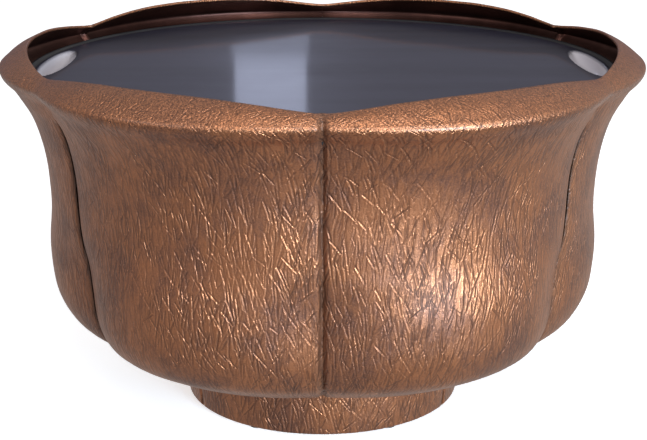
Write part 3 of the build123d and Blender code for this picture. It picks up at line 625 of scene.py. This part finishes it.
def panel_tree(outside, inside):
    """Geometry nodes for one panel: two petals side by side, with a folded lip."""
    sizes = {
        "Turn": 0.0, "Seat Radius": 0.08, "Seat Height": 0.026, "Flange": 0.013, "Fold Radius": 0.176,
        "Fold Height": 0.1885, "Fold Valley": 0.0115, "Opening Radius": 0.16, "Peak Rise": 0.0143,
        "Valley Rise": 0.0067, "Sheet": 0.0015, "Groove Depth": 0.0012, "Groove Width": 0.002,
        "Seam Gap": 0.0006, "Seam Roll": 0.002, "Front": 0.0, "Unevenness": 0.0005,
    }
    wiring, given = new_group("Petal Panel", "GeometryNodeTree", {
        "Columns": (WHOLE, 201), "Rows": (WHOLE, 121),
        **{socket: (NUMBER, size) for socket, size in sizes.items()}}, {"Geometry": GEOMETRY})
    m = wiring.math
    grid = wiring.add("GeometryNodeMeshGrid", {
        "Size X": 1.0, "Size Y": 1.0, "Vertices X": given["Columns"], "Vertices Y": given["Rows"]})
    position = wiring.add("GeometryNodeInputPosition").outputs[0]
    spot = wiring.add("ShaderNodeSeparateXYZ", {0: position}).outputs
    across = Field(wiring, spot[0]) + 0.5
    up = Field(wiring, spot[1]) + 0.5

    # Columns crowd together at the valleys.
    half_petal = math.radians(30)
    crowded = across * 2.0 - 1.0 - m("SINE", across * (2 * TAU)) * (0.8 / TAU)
    turn = crowded * (2 * half_petal)

    # The side view runs along the flange, up the body, round the fold and over the lip.
    flange_share, body_share, fold_share = 0.03, 0.80, 0.88
    flange = m("DIVIDE", up, flange_share, clamp=True)
    body = m("DIVIDE", up - flange_share, body_share - flange_share, clamp=True) * 0.966
    fold = m("DIVIDE", up - body_share, fold_share - body_share, clamp=True)
    lip = m("DIVIDE", up - fold_share, 1 - fold_share, clamp=True)

    # Valleys are rounded, and more so over the lip.
    to_valley = half_petal - m("ABSOLUTE", m("ABSOLUTE", turn) - half_petal)
    softness = math.radians(0.7) + fold * math.radians(2.6)
    petal_turn = half_petal - m("SQRT", to_valley * to_valley + softness * softness)

    def on_petal(petal, valley):
        centre = (petal * petal - valley * valley) / ((petal - valley * math.cos(half_petal)) * 2.0)
        arc = petal - centre
        side = centre * m("SINE", petal_turn)
        return centre * m("COSINE", petal_turn) + m("SQRT", m("MAXIMUM", arc * arc - side * side, 0.0))

    out_share = curve_of(wiring, body, 2)
    up_share = curve_of(wiring, body, 1)
    depth = m("MAXIMUM", curve_of(wiring, body, 3, VALLEY_SCALE), 0.00002)
    petal = given["Seat Radius"] + (given["Fold Radius"] - given["Seat Radius"]) * out_share
    body_radius = on_petal(petal, petal - depth) - given["Flange"] * (1.0 - flange)
    body_height = given["Seat Height"] + (given["Fold Height"] - given["Seat Height"]) * up_share

    overshoot = 0.0036
    fold_petal = given["Fold Radius"] + overshoot
    fold_radius = on_petal(fold_petal, fold_petal - given["Fold Valley"])
    fold_height = given["Fold Height"] + overshoot / 2
    ridge = 1.0 - m("POWER", m("ABSOLUTE", petal_turn / half_petal), 2.5)
    edge_radius = given["Opening Radius"] + 0.0002
    valley_rise = given["Valley Rise"]
    edge_height = given["Fold Height"] + valley_rise + (given["Peak Rise"] - valley_rise) * ridge
    lip_start = 0.30
    start_radius = fold_radius + (edge_radius - fold_radius) * lip_start
    start_height = fold_height + (edge_height - fold_height) * lip_start

    def rounded(first, corner, last):
        rest = 1.0 - fold
        return first * rest * rest + corner * rest * fold * 2.0 + last * fold * fold

    lip_bulge = 0.0006
    bulge = m("SINE", lip * math.pi) * lip_bulge
    radius = rounded(body_radius, fold_radius, start_radius)
    radius = radius + (edge_radius - radius) * lip + bulge
    height = rounded(body_height, fold_height, start_height)
    height = height + (edge_height - height) * lip + bulge

    # A pressed line along the closed valley, and side edges that turn in at the open seams.
    seam_top_low, seam_top_high = 0.171, 0.176
    roll_reach, shade_reach, shut_gap = 0.0014, 0.0019, 0.000004
    closed = wiring.step(height, seam_top_low, seam_top_high)
    groove_place = turn * radius / given["Groove Width"]
    fade = 1.0 - lip * 0.5
    groove = m("EXPONENT", groove_place * groove_place * -1.0) * given["Groove Depth"] * flange * fade
    from_edge = (2 * half_petal - m("ABSOLUTE", turn)) * radius
    roll = m("EXPONENT", from_edge / -roll_reach) * given["Seam Roll"] * flange * (1.0 - closed)
    radius = radius - groove - roll
    narrow = wiring.step(turn * given["Front"], 0.5, 0.6) * wiring.step(height, 0.125, 0.085)
    gap = given["Seam Gap"] * (1.0 - closed) * (1.0 - narrow * 0.85) + shut_gap
    turned = turn * (1.0 - gap / (radius * 2 * half_petal)) + given["Turn"]

    where = wiring.add("ShaderNodeCombineXYZ", {
        0: radius * m("COSINE", turned), 1: radius * m("SINE", turned), 2: height}).outputs[0]
    spread = wiring.add("ShaderNodeCombineXYZ", {
        0: (turn + given["Turn"]) * MEAN_RADIUS, 1: up * SIDE_LENGTH, 2: 0.0}).outputs[0]
    kept = wiring.add("GeometryNodeCaptureAttribute", {"Geometry": grid.outputs["Mesh"]}, domain="POINT")
    kept.capture_items.new("VECTOR", "Spread")
    wiring.feed(kept.inputs["Spread"], spread)
    # Painted shade: the closed valley's line and the turned-in edges of the open seams make a crease zone
    # that the copper paints near black.
    line = m("EXPONENT", groove_place * groove_place * -0.55) * flange
    painted_seam_shade = m("EXPONENT", from_edge / -shade_reach) * flange * (1.0 - closed)
    zones = {"Lip": wiring.step(fold, 0.25, 0.75), "Crease": m("MAXIMUM", line * 0.62, painted_seam_shade)}
    for zone, value in zones.items():
        kept.capture_items.new("FLOAT", zone)
        wiring.feed(kept.inputs[zone], value)
    sheet = wiring.then(kept.outputs["Geometry"], "GeometryNodeSetPosition", {"Position": where})
    sheet = wiring.then(sheet, "GeometryNodeStoreNamedAttribute", {
        "Name": "UVMap", "Value": kept.outputs["Spread"]}, data_type="FLOAT2", domain="CORNER")
    for zone in zones:
        sheet = wiring.then(sheet, "GeometryNodeStoreNamedAttribute", {
            "Name": zone, "Value": kept.outputs[zone]}, data_type="FLOAT", domain="POINT")

    # The sheet is beaten slightly uneven.
    here = wiring.add("GeometryNodeInputPosition").outputs[0]
    wave = wiring.noise(here, 38.0, 2.0) - 0.5
    normal = wiring.add("GeometryNodeInputNormal").outputs[0]
    push = wiring.add("ShaderNodeVectorMath", {0: normal, "Scale": wave * given["Unevenness"] * flange},
                      operation="SCALE").outputs[0]
    beaten = wiring.then(sheet, "GeometryNodeSetPosition", {"Offset": push})

    # Two skins and their rims make a closed sheet.
    inner = wiring.add("GeometryNodeExtrudeMesh", {
        "Mesh": beaten, "Offset Scale": given["Sheet"] * -1.0, "Individual": False})
    flipped = wiring.then(inner.outputs["Mesh"], "GeometryNodeFlipFaces")
    both = wiring.add("GeometryNodeJoinGeometry")
    wiring.feed(both.inputs[0], flipped)
    wiring.feed(both.inputs[0], beaten)
    merged = wiring.then(both.outputs[0], "GeometryNodeMergeByDistance", {"Distance": 0.00001})
    smooth = wiring.then(merged, "GeometryNodeSetShadeSmooth", {"Shade Smooth": True})
    real = wiring.then(smooth, "GeometryNodeRealizeInstances")
    copper = wiring.then(real, "GeometryNodeSetMaterial", {"Material": outside})
    lined = wiring.then(copper, "GeometryNodeSetMaterial", {
        "Selection": inner.outputs["Top"], "Material": inside})
    return close_group(wiring, {"Geometry": lined})


def nodes_modifier(piece, tree, values):
    """Adds a geometry nodes modifier and sets its inputs by their sockets' identifiers."""
    modifier = piece.modifiers.new(tree.name, "NODES")
    modifier.node_group = tree
    for item in tree.interface.items_tree:
        if item.item_type == "SOCKET" and item.in_out == "INPUT" and item.name in values:
            modifier[item.identifier] = values[item.name]
    return modifier


PANEL_KEYS = (
    "columns", "rows", "fold_radius", "fold_height", "fold_valley", "opening_radius", "valley_rise",
    "groove_depth", "groove_width", "seam_gap", "seam_roll")
FLANGE_INNER_RADIUS = 0.067


class FOUNTAIN_OT_vessel(bpy.types.Operator):
    """Make the three copper panels, two petals each"""

    bl_idname = "fountain.vessel"
    bl_label = "Vessel Panels"

    def execute(self, context):
        settings = context.scene.fountain_vessel
        outside = copper_material("Pressed Copper", settings)
        inside = inside_material(settings)
        tree = panel_tree(outside, inside)
        values = {key.replace("_", " ").title(): getattr(settings, key) for key in PANEL_KEYS}
        values.update({
            "Seat Radius": FOOT_HIGH.x, "Seat Height": FOOT_HIGH.z,
            "Flange": FOOT_HIGH.x - FLANGE_INNER_RADIUS, "Sheet": settings.wall,
            "Peak Rise": VESSEL_HIGH.z - settings.fold_height, "Unevenness": 0.0006,
        })
        for node, degrees in PANELS.items():
            piece = new_object("copper_" + node, [], [], outside)
            side = {"panel_front": 1.0, "panel_right_rear": -1.0, "panel_left_rear": 0.0}[node]
            nodes_modifier(piece, tree, {**values, "Turn": math.radians(degrees), "Front": side})
            bake_modifiers(piece)
            ride_and_replace(piece, "vessel", "copper_skin", node)
        return {"FINISHED"}


class FOUNTAIN_OT_foot(bpy.types.Operator):
    """Make the three segments of the ring foot"""

    bl_idname = "fountain.foot"
    bl_label = "Foot Segments"

    def execute(self, context):
        settings = context.scene.fountain_vessel
        material = copper_material("Foot Copper", settings, lip_and_crease_shade=False)
        wall = settings.wall
        low, high = FOOT_LOW.z, FOOT_HIGH.z
        outer, top = FOOT_HIGH.x - 0.0025, FOOT_HIGH.x
        inner = top - 0.013
        corners = [
            (outer, low), (top, high), (inner, high), (inner, high - wall), (top - wall, high - wall),
            (outer - wall, low + wall), (outer - 0.010, low + wall), (outer - 0.010, low),
        ]
        rounds = [0.0016, 0.0010, 0.0003, 0.0003, 0.0003, 0.0003, 0.0003, 0.0003]
        outline = round_corners(corners, rounds)
        slot = 0.0013 / top
        for node, degrees in SEGMENTS.items():
            start = math.radians(degrees - 60) + slot
            end = math.radians(degrees + 60) - slot
            piece = lathe("copper_" + node, outline, material, start, end, columns=90)
            ride_and_replace(piece, "vessel", "copper_foot", node)
        return {"FINISHED"}


# ---------------------------------------------------------------- plate
BOWL_POWER = 3.2
WELL_REFLECTION_FADE = 0.06
PLATE_COLUMNS = 420
INNER_ROWS, OUTER_ROWS = 14, 44


class FOUNTAIN_OT_plate(bpy.types.Operator):
    """Make the dark plate with its two oval wells"""

    bl_idname = "fountain.plate"
    bl_label = "Plate"

    def execute(self, context):
        settings = context.scene.fountain_plate
        material = plate_material(settings)
        radius = half_width("plate")
        top, thick, wall = PLATE_HIGH[2], 0.002, 0.001
        reach = radius - settings.well_edge - settings.well_width / 2
        turns = (settings.well_turn, math.pi - settings.well_turn)

        def dished(point):
            """Sinks the points over a well, by a smooth bowl with a crisp edge."""
            under = point.z < top - thick * 0.6
            for well in turns:
                share = well_share(point, well, reach, settings, wall if under else 0.0)
                if share < 1:
                    floor = top - (1 - share ** BOWL_POWER) * settings.well_depth
                    point.z = min(point.z, floor - wall) if under else floor
            return point

        near = reach - settings.well_width / 2 - 0.002
        inner = [near * n / INNER_ROWS for n in range(INNER_ROWS + 1)]
        fine = [near + (radius - 0.0005 - near) * n / OUTER_ROWS for n in range(1, OUTER_ROWS + 1)]
        rim = [(radius - 0.00015, top - 0.00012), (radius, top - 0.0004), (radius, top - thick + 0.0004),
               (radius - 0.00015, top - thick + 0.00012)]
        across = inner[1:] + fine
        outline = [(r, top - thick) for r in across] + rim[::-1] + [(r, top) for r in reversed(across)]
        piece = lathe("still_plate", outline, material, columns=PLATE_COLUMNS, shape=dished)
        close_poles(piece, len(outline))
        mark_wells(piece, reach, turns, settings, top)
        ride_and_replace(piece, "plate", "dark_plate", "plate")
        return {"FINISHED"}


def well_share(point, well, reach, settings, spare=0.0):
    """How far out a point is in the oval well at this turn: 0 at its middle and 1 on its edge."""
    out, along = Vector((math.cos(well), math.sin(well))), Vector((-math.sin(well), math.cos(well)))
    local = point.to_2d() - out * reach
    return math.hypot(local.dot(out) / (settings.well_width / 2 + spare),
                      local.dot(along) / (settings.well_length / 2 + spare))


def mark_wells(piece, reach, turns, settings, top):
    """Stores where a well's inside carries the pale painted reflection, which fades out over its floor."""
    layer = piece.data.attributes.new("Well", "FLOAT", "POINT")
    shares = []
    for vert in piece.data.vertices:
        share = 0.0
        for well in turns:
            size = well_share(vert.co, well, reach, settings)
            if vert.co.z > top - settings.well_depth - 0.0005:
                share = max(share, min(1.0, max(0.0, (1.0 - size) / WELL_REFLECTION_FADE)))
        shares.append(share)
    layer.data.foreach_set("value", shares)


def close_poles(piece, size):
    """Fills the round holes that a lathe leaves at its axis, and removes the wall between them."""
    mesh = bmesh.new()
    mesh.from_mesh(piece.data)
    axis_faces = []
    for face in mesh.faces:
        rows = {vert.index % size for vert in face.verts}
        if rows == {0, size - 1}:
            axis_faces.append(face)
    bmesh.ops.delete(mesh, geom=axis_faces, context="FACES_ONLY")
    borders = [edge for edge in mesh.edges if edge.is_boundary]
    filled = bmesh.ops.holes_fill(mesh, edges=borders, sides=0)
    for face in filled["faces"]:
        face.smooth = True
    bmesh.ops.recalc_face_normals(mesh, faces=mesh.faces)
    mesh.to_mesh(piece.data)
    mesh.free()


# ---------------------------------------------------------------- pieces that follow their CAD node
def eased_copy(node, name, material, width=0.0003):
    """A copy of a CAD node with clean faces and rounded edges."""
    source = frame["nodes"][node]
    mesh = bmesh.new()
    mesh.from_mesh(source.data)
    bmesh.ops.remove_doubles(mesh, verts=mesh.verts, dist=0.00001)
    bmesh.ops.dissolve_limit(mesh, angle_limit=math.radians(0.5), verts=mesh.verts, edges=mesh.edges)
    data = bpy.data.meshes.new(name)
    mesh.to_mesh(data)
    mesh.free()
    data.materials.clear()
    data.materials.append(material)
    data.shade_smooth()
    piece = bpy.data.objects.new(name, data)
    bpy.context.scene.collection.objects.link(piece)
    return ease_edges(piece, width)


FINISHES = {
    # finish: colour, roughness, grain, metallic, grain size in millimetres
    "Black Basin": ((0.014, 0.013, 0.014), 0.42, 0.25, 0.0, 0.6),
    "Black Moulding": ((0.022, 0.022, 0.024), 0.36, 0.35, 0.0, 0.4),
    "Grey Dial": ((0.20, 0.20, 0.21), 0.42, 0.35, 0.0, 0.4),
    "White Moulding": ((0.70, 0.71, 0.72), 0.35, 0.2, 0.0, 0.4),
    "Soft Rubber": ((0.024, 0.024, 0.026), 0.68, 0.5, 0.0, 0.5),
    "Milky Tube": ((0.62, 0.65, 0.66), 0.28, 0.1, 0.0, 0.8),
    "Stainless": ((0.50, 0.50, 0.51), 0.30, 0.15, 1.0, 0.25),
    "Black Coated Steel": ((0.030, 0.030, 0.032), 0.50, 0.6, 0.0, 0.5),
    "Ferrite": ((0.050, 0.050, 0.054), 0.55, 0.4, 0.3, 0.3),
    "Ceramic": ((0.78, 0.77, 0.72), 0.15, 0.05, 0.0, 0.3),
    "Laminations": ((0.30, 0.30, 0.31), 0.45, 0.4, 1.0, 0.5),
    "Enamelled Wire": ((0.45, 0.17, 0.06), 0.35, 0.6, 0.7, 0.4),
}
HARDWARE = {
    # node: piece name, finish, and an edge rounding where it isn't the usual one
    "liner": ("water_liner", "Black Basin"),
    "base_plate": ("clamp_base_plate", "Black Coated Steel"),
    "stand_ring": ("rest_ring", "Stainless"),
    "stand_leg_front": ("rest_leg_front", "Stainless"),
    "stand_leg_right": ("rest_leg_right", "Stainless"),
    "stand_leg_left": ("rest_leg_left", "Stainless"),
    "feed_duct_right": ("under_duct_right", "Black Moulding"),
    "feed_duct_left": ("under_duct_left", "Black Moulding"),
    "pump_volute": ("pump_front_chamber", "Black Moulding"),
    "volute_seal": ("chamber_seal", "Soft Rubber", 0.0001),
    "motor_housing": ("pump_motor_shell", "Black Moulding"),
    "motor_back_cover": ("pump_back_cover", "Black Moulding"),
    "motor_core": ("motor_lamination_core", "Laminations", 0.0002),
    "motor_coil": ("motor_winding", "Enamelled Wire"),
    "rotor_shaft": ("ceramic_shaft", "Ceramic", 0.0002),
    "front_bush": ("ceramic_bush_front", "Ceramic", 0.0002),
    "rear_bush": ("ceramic_bush_rear", "Ceramic", 0.0002),
    "rotor_magnet": ("ferrite_rotor", "Ferrite"),
    "impeller": ("vaned_impeller", "White Moulding", 0.0002),
    "strainer": ("slotted_strainer", "Black Moulding", 0.0002),
    "flow_dial": ("flow_control_dial", "Grey Dial"),
    "riser_sleeve": ("rubber_riser_sleeve", "Soft Rubber"),
    "riser_pipe": ("milky_riser", "Milky Tube", 0.0002),
    "branch_pipe_right": ("milky_branch_right", "Milky Tube", 0.0002),
    "branch_pipe_left": ("milky_branch_left", "Milky Tube", 0.0002),
    "tee": ("black_tee", "Black Moulding"),
    "elbow_right": ("black_elbow_right", "Black Moulding"),
    "elbow_left": ("black_elbow_left", "Black Moulding"),
    "gland_body": ("cord_gland_body", "Black Moulding"),
    "gland_seal": ("cord_gland_seal", "Soft Rubber", 0.0002),
    "gland_nut": ("cord_gland_nut", "Black Moulding", 0.0004),
}
RINGS = {
    # node: piece name, finish, count, in a group, group step, turn within a group, first turn, reach
    "base_screws": ("clamp_screws", "Stainless", 6, 2, 120, 50, -115, 0.0735),
    "foot_pads": ("rubber_foot_pads", "Soft Rubber", 6, 1, 60, 0, 0, 0.07175),
    "stand_pads": ("rest_pads", "Soft Rubber", 3, 1, 120, 0, -30, 0.100),
    "stand_screws": ("rest_screws", "Stainless", 3, 1, 120, 0, -90, 0.100),
    "leg_caps": ("rubber_leg_caps", "Soft Rubber", 3, 1, 120, 0, -90, 0.064),
    "plate_pegs": ("centring_pegs", "Stainless", 3, 1, 120, 0, 30, 0.0895),
    "suction_cups": ("pump_suction_cups", "Soft Rubber", 4, 2, 180, 107.23, -53.615, 0.0236),
}
OUTLINES = {
    # node: (radius, height over the node's lowest point) in millimetres, up the outside and down the inside
    "base_screws": [(1.9, 1.1), (1.9, 0), (3.1, 0), (3.6, 0.7), (3.6, 2.2), (1.9, 2.2), (1.9, 7.2),
                    (0, 7.2), (0, 1.1)],
    "foot_pads": [(0, 0), (4, 0), (4, 1), (0, 1)],
    "stand_pads": [(0, 0), (5, 0), (5, 1.8), (0, 1.8)],
    "stand_screws": [(0, 0), (1.5, 0), (1.5, 10), (2.8, 10), (2.8, 10.6), (2.1, 11.3), (0.9, 11.3),
                     (0.9, 10.7), (0, 10.7)],
    "leg_caps": [(0, 0), (5.5, 0), (5.5, 10.7), (4.3, 12), (3, 12), (3, 2), (0, 2)],
    "plate_pegs": [(0, 0), (2.25, 0), (3, 0.75), (3, 6), (0, 6)],
    "suction_cups": [(0, 1.2), (5.2, 0.5), (6.2, 0), (7, 0), (5.2, 1.3), (3.4, 2.6), (3, 3.4),
                     (3, 6), (0, 6)],
}


def ring_tree():
    """Geometry nodes for like fixings that stand in a ring, alone or in groups."""
    wiring, given = new_group("Ring of Fixings", "GeometryNodeTree", {
        "Item": ("NodeSocketObject", None), "Count": (WHOLE, 6), "In Group": (NUMBER, 1.0),
        "Group Step": (NUMBER, 1.0), "Inner Turn": (NUMBER, 0.0), "First Turn": (NUMBER, 0.0),
        "Reach": (NUMBER, 0.1), "Centre": (VECTOR, None), "Material": ("NodeSocketMaterial", None),
    }, {"Geometry": GEOMETRY})
    index = Field(wiring, wiring.add("GeometryNodeInputIndex").outputs[0])
    group = wiring.math("FLOOR", index / given["In Group"])
    inner = index - group * given["In Group"]
    turn = given["First Turn"] + group * given["Group Step"] + inner * given["Inner Turn"]
    ray = wiring.add("ShaderNodeCombineXYZ", {
        0: wiring.math("COSINE", turn) * given["Reach"],
        1: wiring.math("SINE", turn) * given["Reach"]}).outputs[0]
    line = wiring.add("GeometryNodeMeshLine", {"Count": given["Count"]}).outputs[0]
    places = wiring.then(line, "GeometryNodeSetPosition", {
        "Position": wiring.vector("ADD", ray, given["Centre"])})
    item = wiring.add("GeometryNodeObjectInfo", {"Object": given["Item"]})
    spin = wiring.add("ShaderNodeCombineXYZ", {2: turn}).outputs[0]
    ring = wiring.then(places, "GeometryNodeInstanceOnPoints", {
        "Instance": item.outputs["Geometry"], "Rotation": spin})
    real = wiring.then(ring, "GeometryNodeRealizeInstances")
    finished = wiring.then(real, "GeometryNodeSetMaterial", {"Material": given["Material"]})
    return close_group(wiring, {"Geometry": finished})


class FOUNTAIN_OT_fixings(bpy.types.Operator):
    """Make the rings of screws, pads, pegs, caps and suction cups"""

    bl_idname = "fountain.fixings"
    bl_label = "Fixings"

    def execute(self, context):
        tree = ring_tree()
        for node, (name, finish, count, group, step, inner, first, reach) in RINGS.items():
            material = moulded_material(finish + " Fixing", *FINISHES[finish])
            low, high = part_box(node)
            soft = "Rubber" in finish
            outline = [(x * MM, y * MM) for x, y in OUTLINES[node]]
            rounds = [0.0 if x == 0 else (0.35 if soft else 0.2) * MM for x, y in outline]
            item = lathe("item", round_corners(outline, rounds, 3), material, columns=32)
            close_axis(item)
            centre = Vector(((low[0] + high[0]) / 2, (low[1] + high[1]) / 2, low[2]))
            if node != "suction_cups":
                centre.x = centre.y = 0.0
            piece = new_object(name, [], [], material)
            nodes_modifier(piece, tree, {
                "Item": item, "Count": count, "In Group": float(group), "Group Step": math.radians(step),
                "Inner Turn": math.radians(inner), "First Turn": math.radians(first), "Reach": reach,
                "Centre": centre, "Material": material})
            bake_modifiers(piece)
            bpy.data.objects.remove(item)
            follow_node(piece, node)
        return {"FINISHED"}


def close_axis(piece):
    """Merges the points that a lathe leaves on its axis, and turns the faces outwards."""
    mesh = bmesh.new()
    mesh.from_mesh(piece.data)
    bmesh.ops.remove_doubles(mesh, verts=mesh.verts, dist=0.000001)
    bmesh.ops.dissolve_degenerate(mesh, edges=mesh.edges, dist=0.000001)
    bmesh.ops.recalc_face_normals(mesh, faces=mesh.faces)
    mesh.to_mesh(piece.data)
    mesh.free()


class FOUNTAIN_OT_hardware(bpy.types.Operator):
    """Make the liner, stand, pump, pipes and fixings"""

    bl_idname = "fountain.hardware"
    bl_label = "Inner Hardware"

    def execute(self, context):
        materials = {name: moulded_material(name, *values) for name, values in FINISHES.items()}
        for node, (name, finish, *width) in HARDWARE.items():
            follow_node(eased_copy(node, name, materials[finish], *width), node)
        return {"FINISHED"}


# ---------------------------------------------------------------- stage
CAMERA_PLACE = Vector((0.0, -0.84611, 0.35298))
CAMERA_DIP = math.radians(16.72)
CAMERA_LENS = 86.47
IMAGE_WIDTH = 647
SENSOR = 36.0
PAPER_GLOW = 0.62
STUDIO_STRENGTH = 0.85
LIGHTS = (
    # name, place, target, size, power, colour
    ("Key", (0.60, -1.04, 0.27), (0.06, -0.12, 0.09), (0.45, 0.5), 24.5, (0.60, 0.80, 1.0)),
    ("Fill", (-1.0, -0.7, 0.7), (-0.05, -0.1, 0.12), (0.8, 0.6), 3.0, (0.95, 0.97, 1.0)),
    ("Top", (0.30, -0.95, 1.25), (0.0, -0.1, 0.15), (0.9, 0.2), 10.5, (1.0, 1.0, 1.0)),
    ("Window", (-0.080, 1.5, 0.545), (-0.08, 0.0, 0.2), (0.11, 0.15), 0.135, (0.68, 0.75, 1.0)),
    ("Sill", (-0.080, 1.5, 0.43), (-0.08, 0.0, 0.2), (0.12, 0.07), 0.020, (0.68, 0.75, 1.0)),
)


def aim(thing, place, target):
    """Puts a light or camera at a place, looking at a target."""
    thing.location = place
    thing.rotation_euler = (Vector(target) - Vector(place)).to_track_quat("-Z", "Y").to_euler()


def area_light(name, place, target, size, power, color):
    """A soft rectangular light that the camera doesn't see."""
    data = bpy.data.lights.new(name, "AREA")
    data.shape = "RECTANGLE"
    data.size, data.size_y = size
    data.energy = power
    data.color = color
    light = bpy.data.objects.new(name, data)
    light.visible_camera = False
    aim(light, place, target)
    bpy.context.scene.collection.objects.link(light)
    return light


class FOUNTAIN_OT_stage(bpy.types.Operator):
    """Make the floor, the lights and the camera"""

    bl_idname = "fountain.stage"
    bl_label = "Stage"

    def execute(self, context):
        scene = context.scene
        scene.view_settings.view_transform = "Standard"
        camera_data = bpy.data.cameras.new("Camera")
        camera_data.lens = CAMERA_LENS
        camera_data.sensor_width = SENSOR
        camera_data.shift_x = 1.0 / IMAGE_WIDTH
        camera = bpy.data.objects.new("Camera", camera_data)
        camera.location = CAMERA_PLACE
        camera.rotation_euler = (math.pi / 2 - CAMERA_DIP, 0.0, 0.0)
        scene.collection.objects.link(camera)
        scene.camera = camera

        paper, wiring, shader = new_material("Pale Paper")
        shader.inputs["Roughness"].default_value = 0.9
        shader.inputs["Specular IOR Level"].default_value = 0.1
        shader.inputs["Emission Color"].default_value = (1.0, 1.0, 1.0, 1.0)
        shader.inputs["Emission Strength"].default_value = PAPER_GLOW
        place = wiring.add("ShaderNodeTexCoord").outputs["Object"]
        tone = wiring.mix(wiring.noise(place, 3.0), (0.80, 0.80, 0.80, 1.0), (0.84, 0.84, 0.84, 1.0))
        wiring.feed(shader.inputs["Base Color"], tone)
        half, bend, rise = 5.0, 4.0, 3.0
        side = [(-half, 0.0), (bend, 0.0)]
        side += [(bend + math.sin(t), 1.0 - math.cos(t)) for t in (0.26, 0.52, 0.79, 1.05, 1.31, 1.57)]
        side.append((bend + 1.0, rise))
        verts = [(x, y, z) for y, z in side for x in (-half, half)]
        faces = [(2 * n, 2 * n + 1, 2 * n + 3, 2 * n + 2) for n in range(len(side) - 1)]
        floor = new_object("paper_sweep", verts, faces, paper)
        floor.visible_glossy = False
        floor.visible_diffuse = False

        world = bpy.data.worlds.new("Studio")
        world.use_nodes = True
        wiring = Wiring(world.node_tree)
        background = world.node_tree.nodes["Background"]
        axes = wiring.add("ShaderNodeSeparateXYZ", {
            0: wiring.add("ShaderNodeTexCoord").outputs["Generated"]}).outputs
        right, back, up = (Field(wiring, axis) for axis in axes)
        tone = wiring.mix(wiring.step(right, -0.9, 0.9), (0.42, 0.41, 0.42, 1.0), (0.72, 0.70, 0.68, 1.0))
        tone = wiring.mix(wiring.step(up, 0.35, 0.95), tone, (0.62, 0.62, 0.64, 1.0))
        tone = wiring.mix(wiring.step(up, 0.05, -0.5) * 0.6, tone, (0.50, 0.48, 0.46, 1.0))
        dim = wiring.step(back, 0.70, 0.88) * wiring.step(up, -0.35, -0.05) * wiring.step(up, 0.50, 0.30)
        tone = wiring.mix(dim, tone, (0.19, 0.19, 0.245, 1.0))
        wiring.feed(background.inputs["Color"], tone)
        background.inputs["Strength"].default_value = STUDIO_STRENGTH
        scene.world = world

        for light in LIGHTS:
            area_light(*light)
        return {"FINISHED"}


# ---------------------------------------------------------------- panel and registration
class FOUNTAIN_PT_build(bpy.types.Panel):
    """Lists the fountain's pieces in the sidebar."""

    bl_label = "Fountain"
    bl_idname = "FOUNTAIN_PT_build"
    bl_space_type = "VIEW_3D"
    bl_region_type = "UI"
    bl_category = "Fountain"

    def draw(self, context):
        for settings in (context.scene.fountain_vessel, context.scene.fountain_plate):
            for key in settings.bl_rna.properties.keys():
                if key not in ("rna_type", "name"):
                    self.layout.prop(settings, key)
        for operator in OPERATORS:
            self.layout.operator(operator.bl_idname)


OPERATORS = (FOUNTAIN_OT_stage, FOUNTAIN_OT_vessel, FOUNTAIN_OT_foot, FOUNTAIN_OT_plate, FOUNTAIN_OT_fixings,
             FOUNTAIN_OT_hardware)
CLASSES = (VesselSettings, PlateSettings, *OPERATORS, FOUNTAIN_PT_build)


def register():
    for cls in CLASSES:
        bpy.utils.register_class(cls)
    bpy.types.Scene.fountain_vessel = PointerProperty(type=VesselSettings)
    bpy.types.Scene.fountain_plate = PointerProperty(type=PlateSettings)


def unregister():
    del bpy.types.Scene.fountain_plate
    del bpy.types.Scene.fountain_vessel
    for cls in reversed(CLASSES):
        bpy.utils.unregister_class(cls)


def main():
    """Builds everything in order."""
    register()
    bpy.ops.fountain.stage()
    bpy.ops.fountain.vessel()
    bpy.ops.fountain.foot()
    bpy.ops.fountain.plate()
    bpy.ops.fountain.fixings()
    bpy.ops.fountain.hardware()


if __name__ == "__main__":
    main()
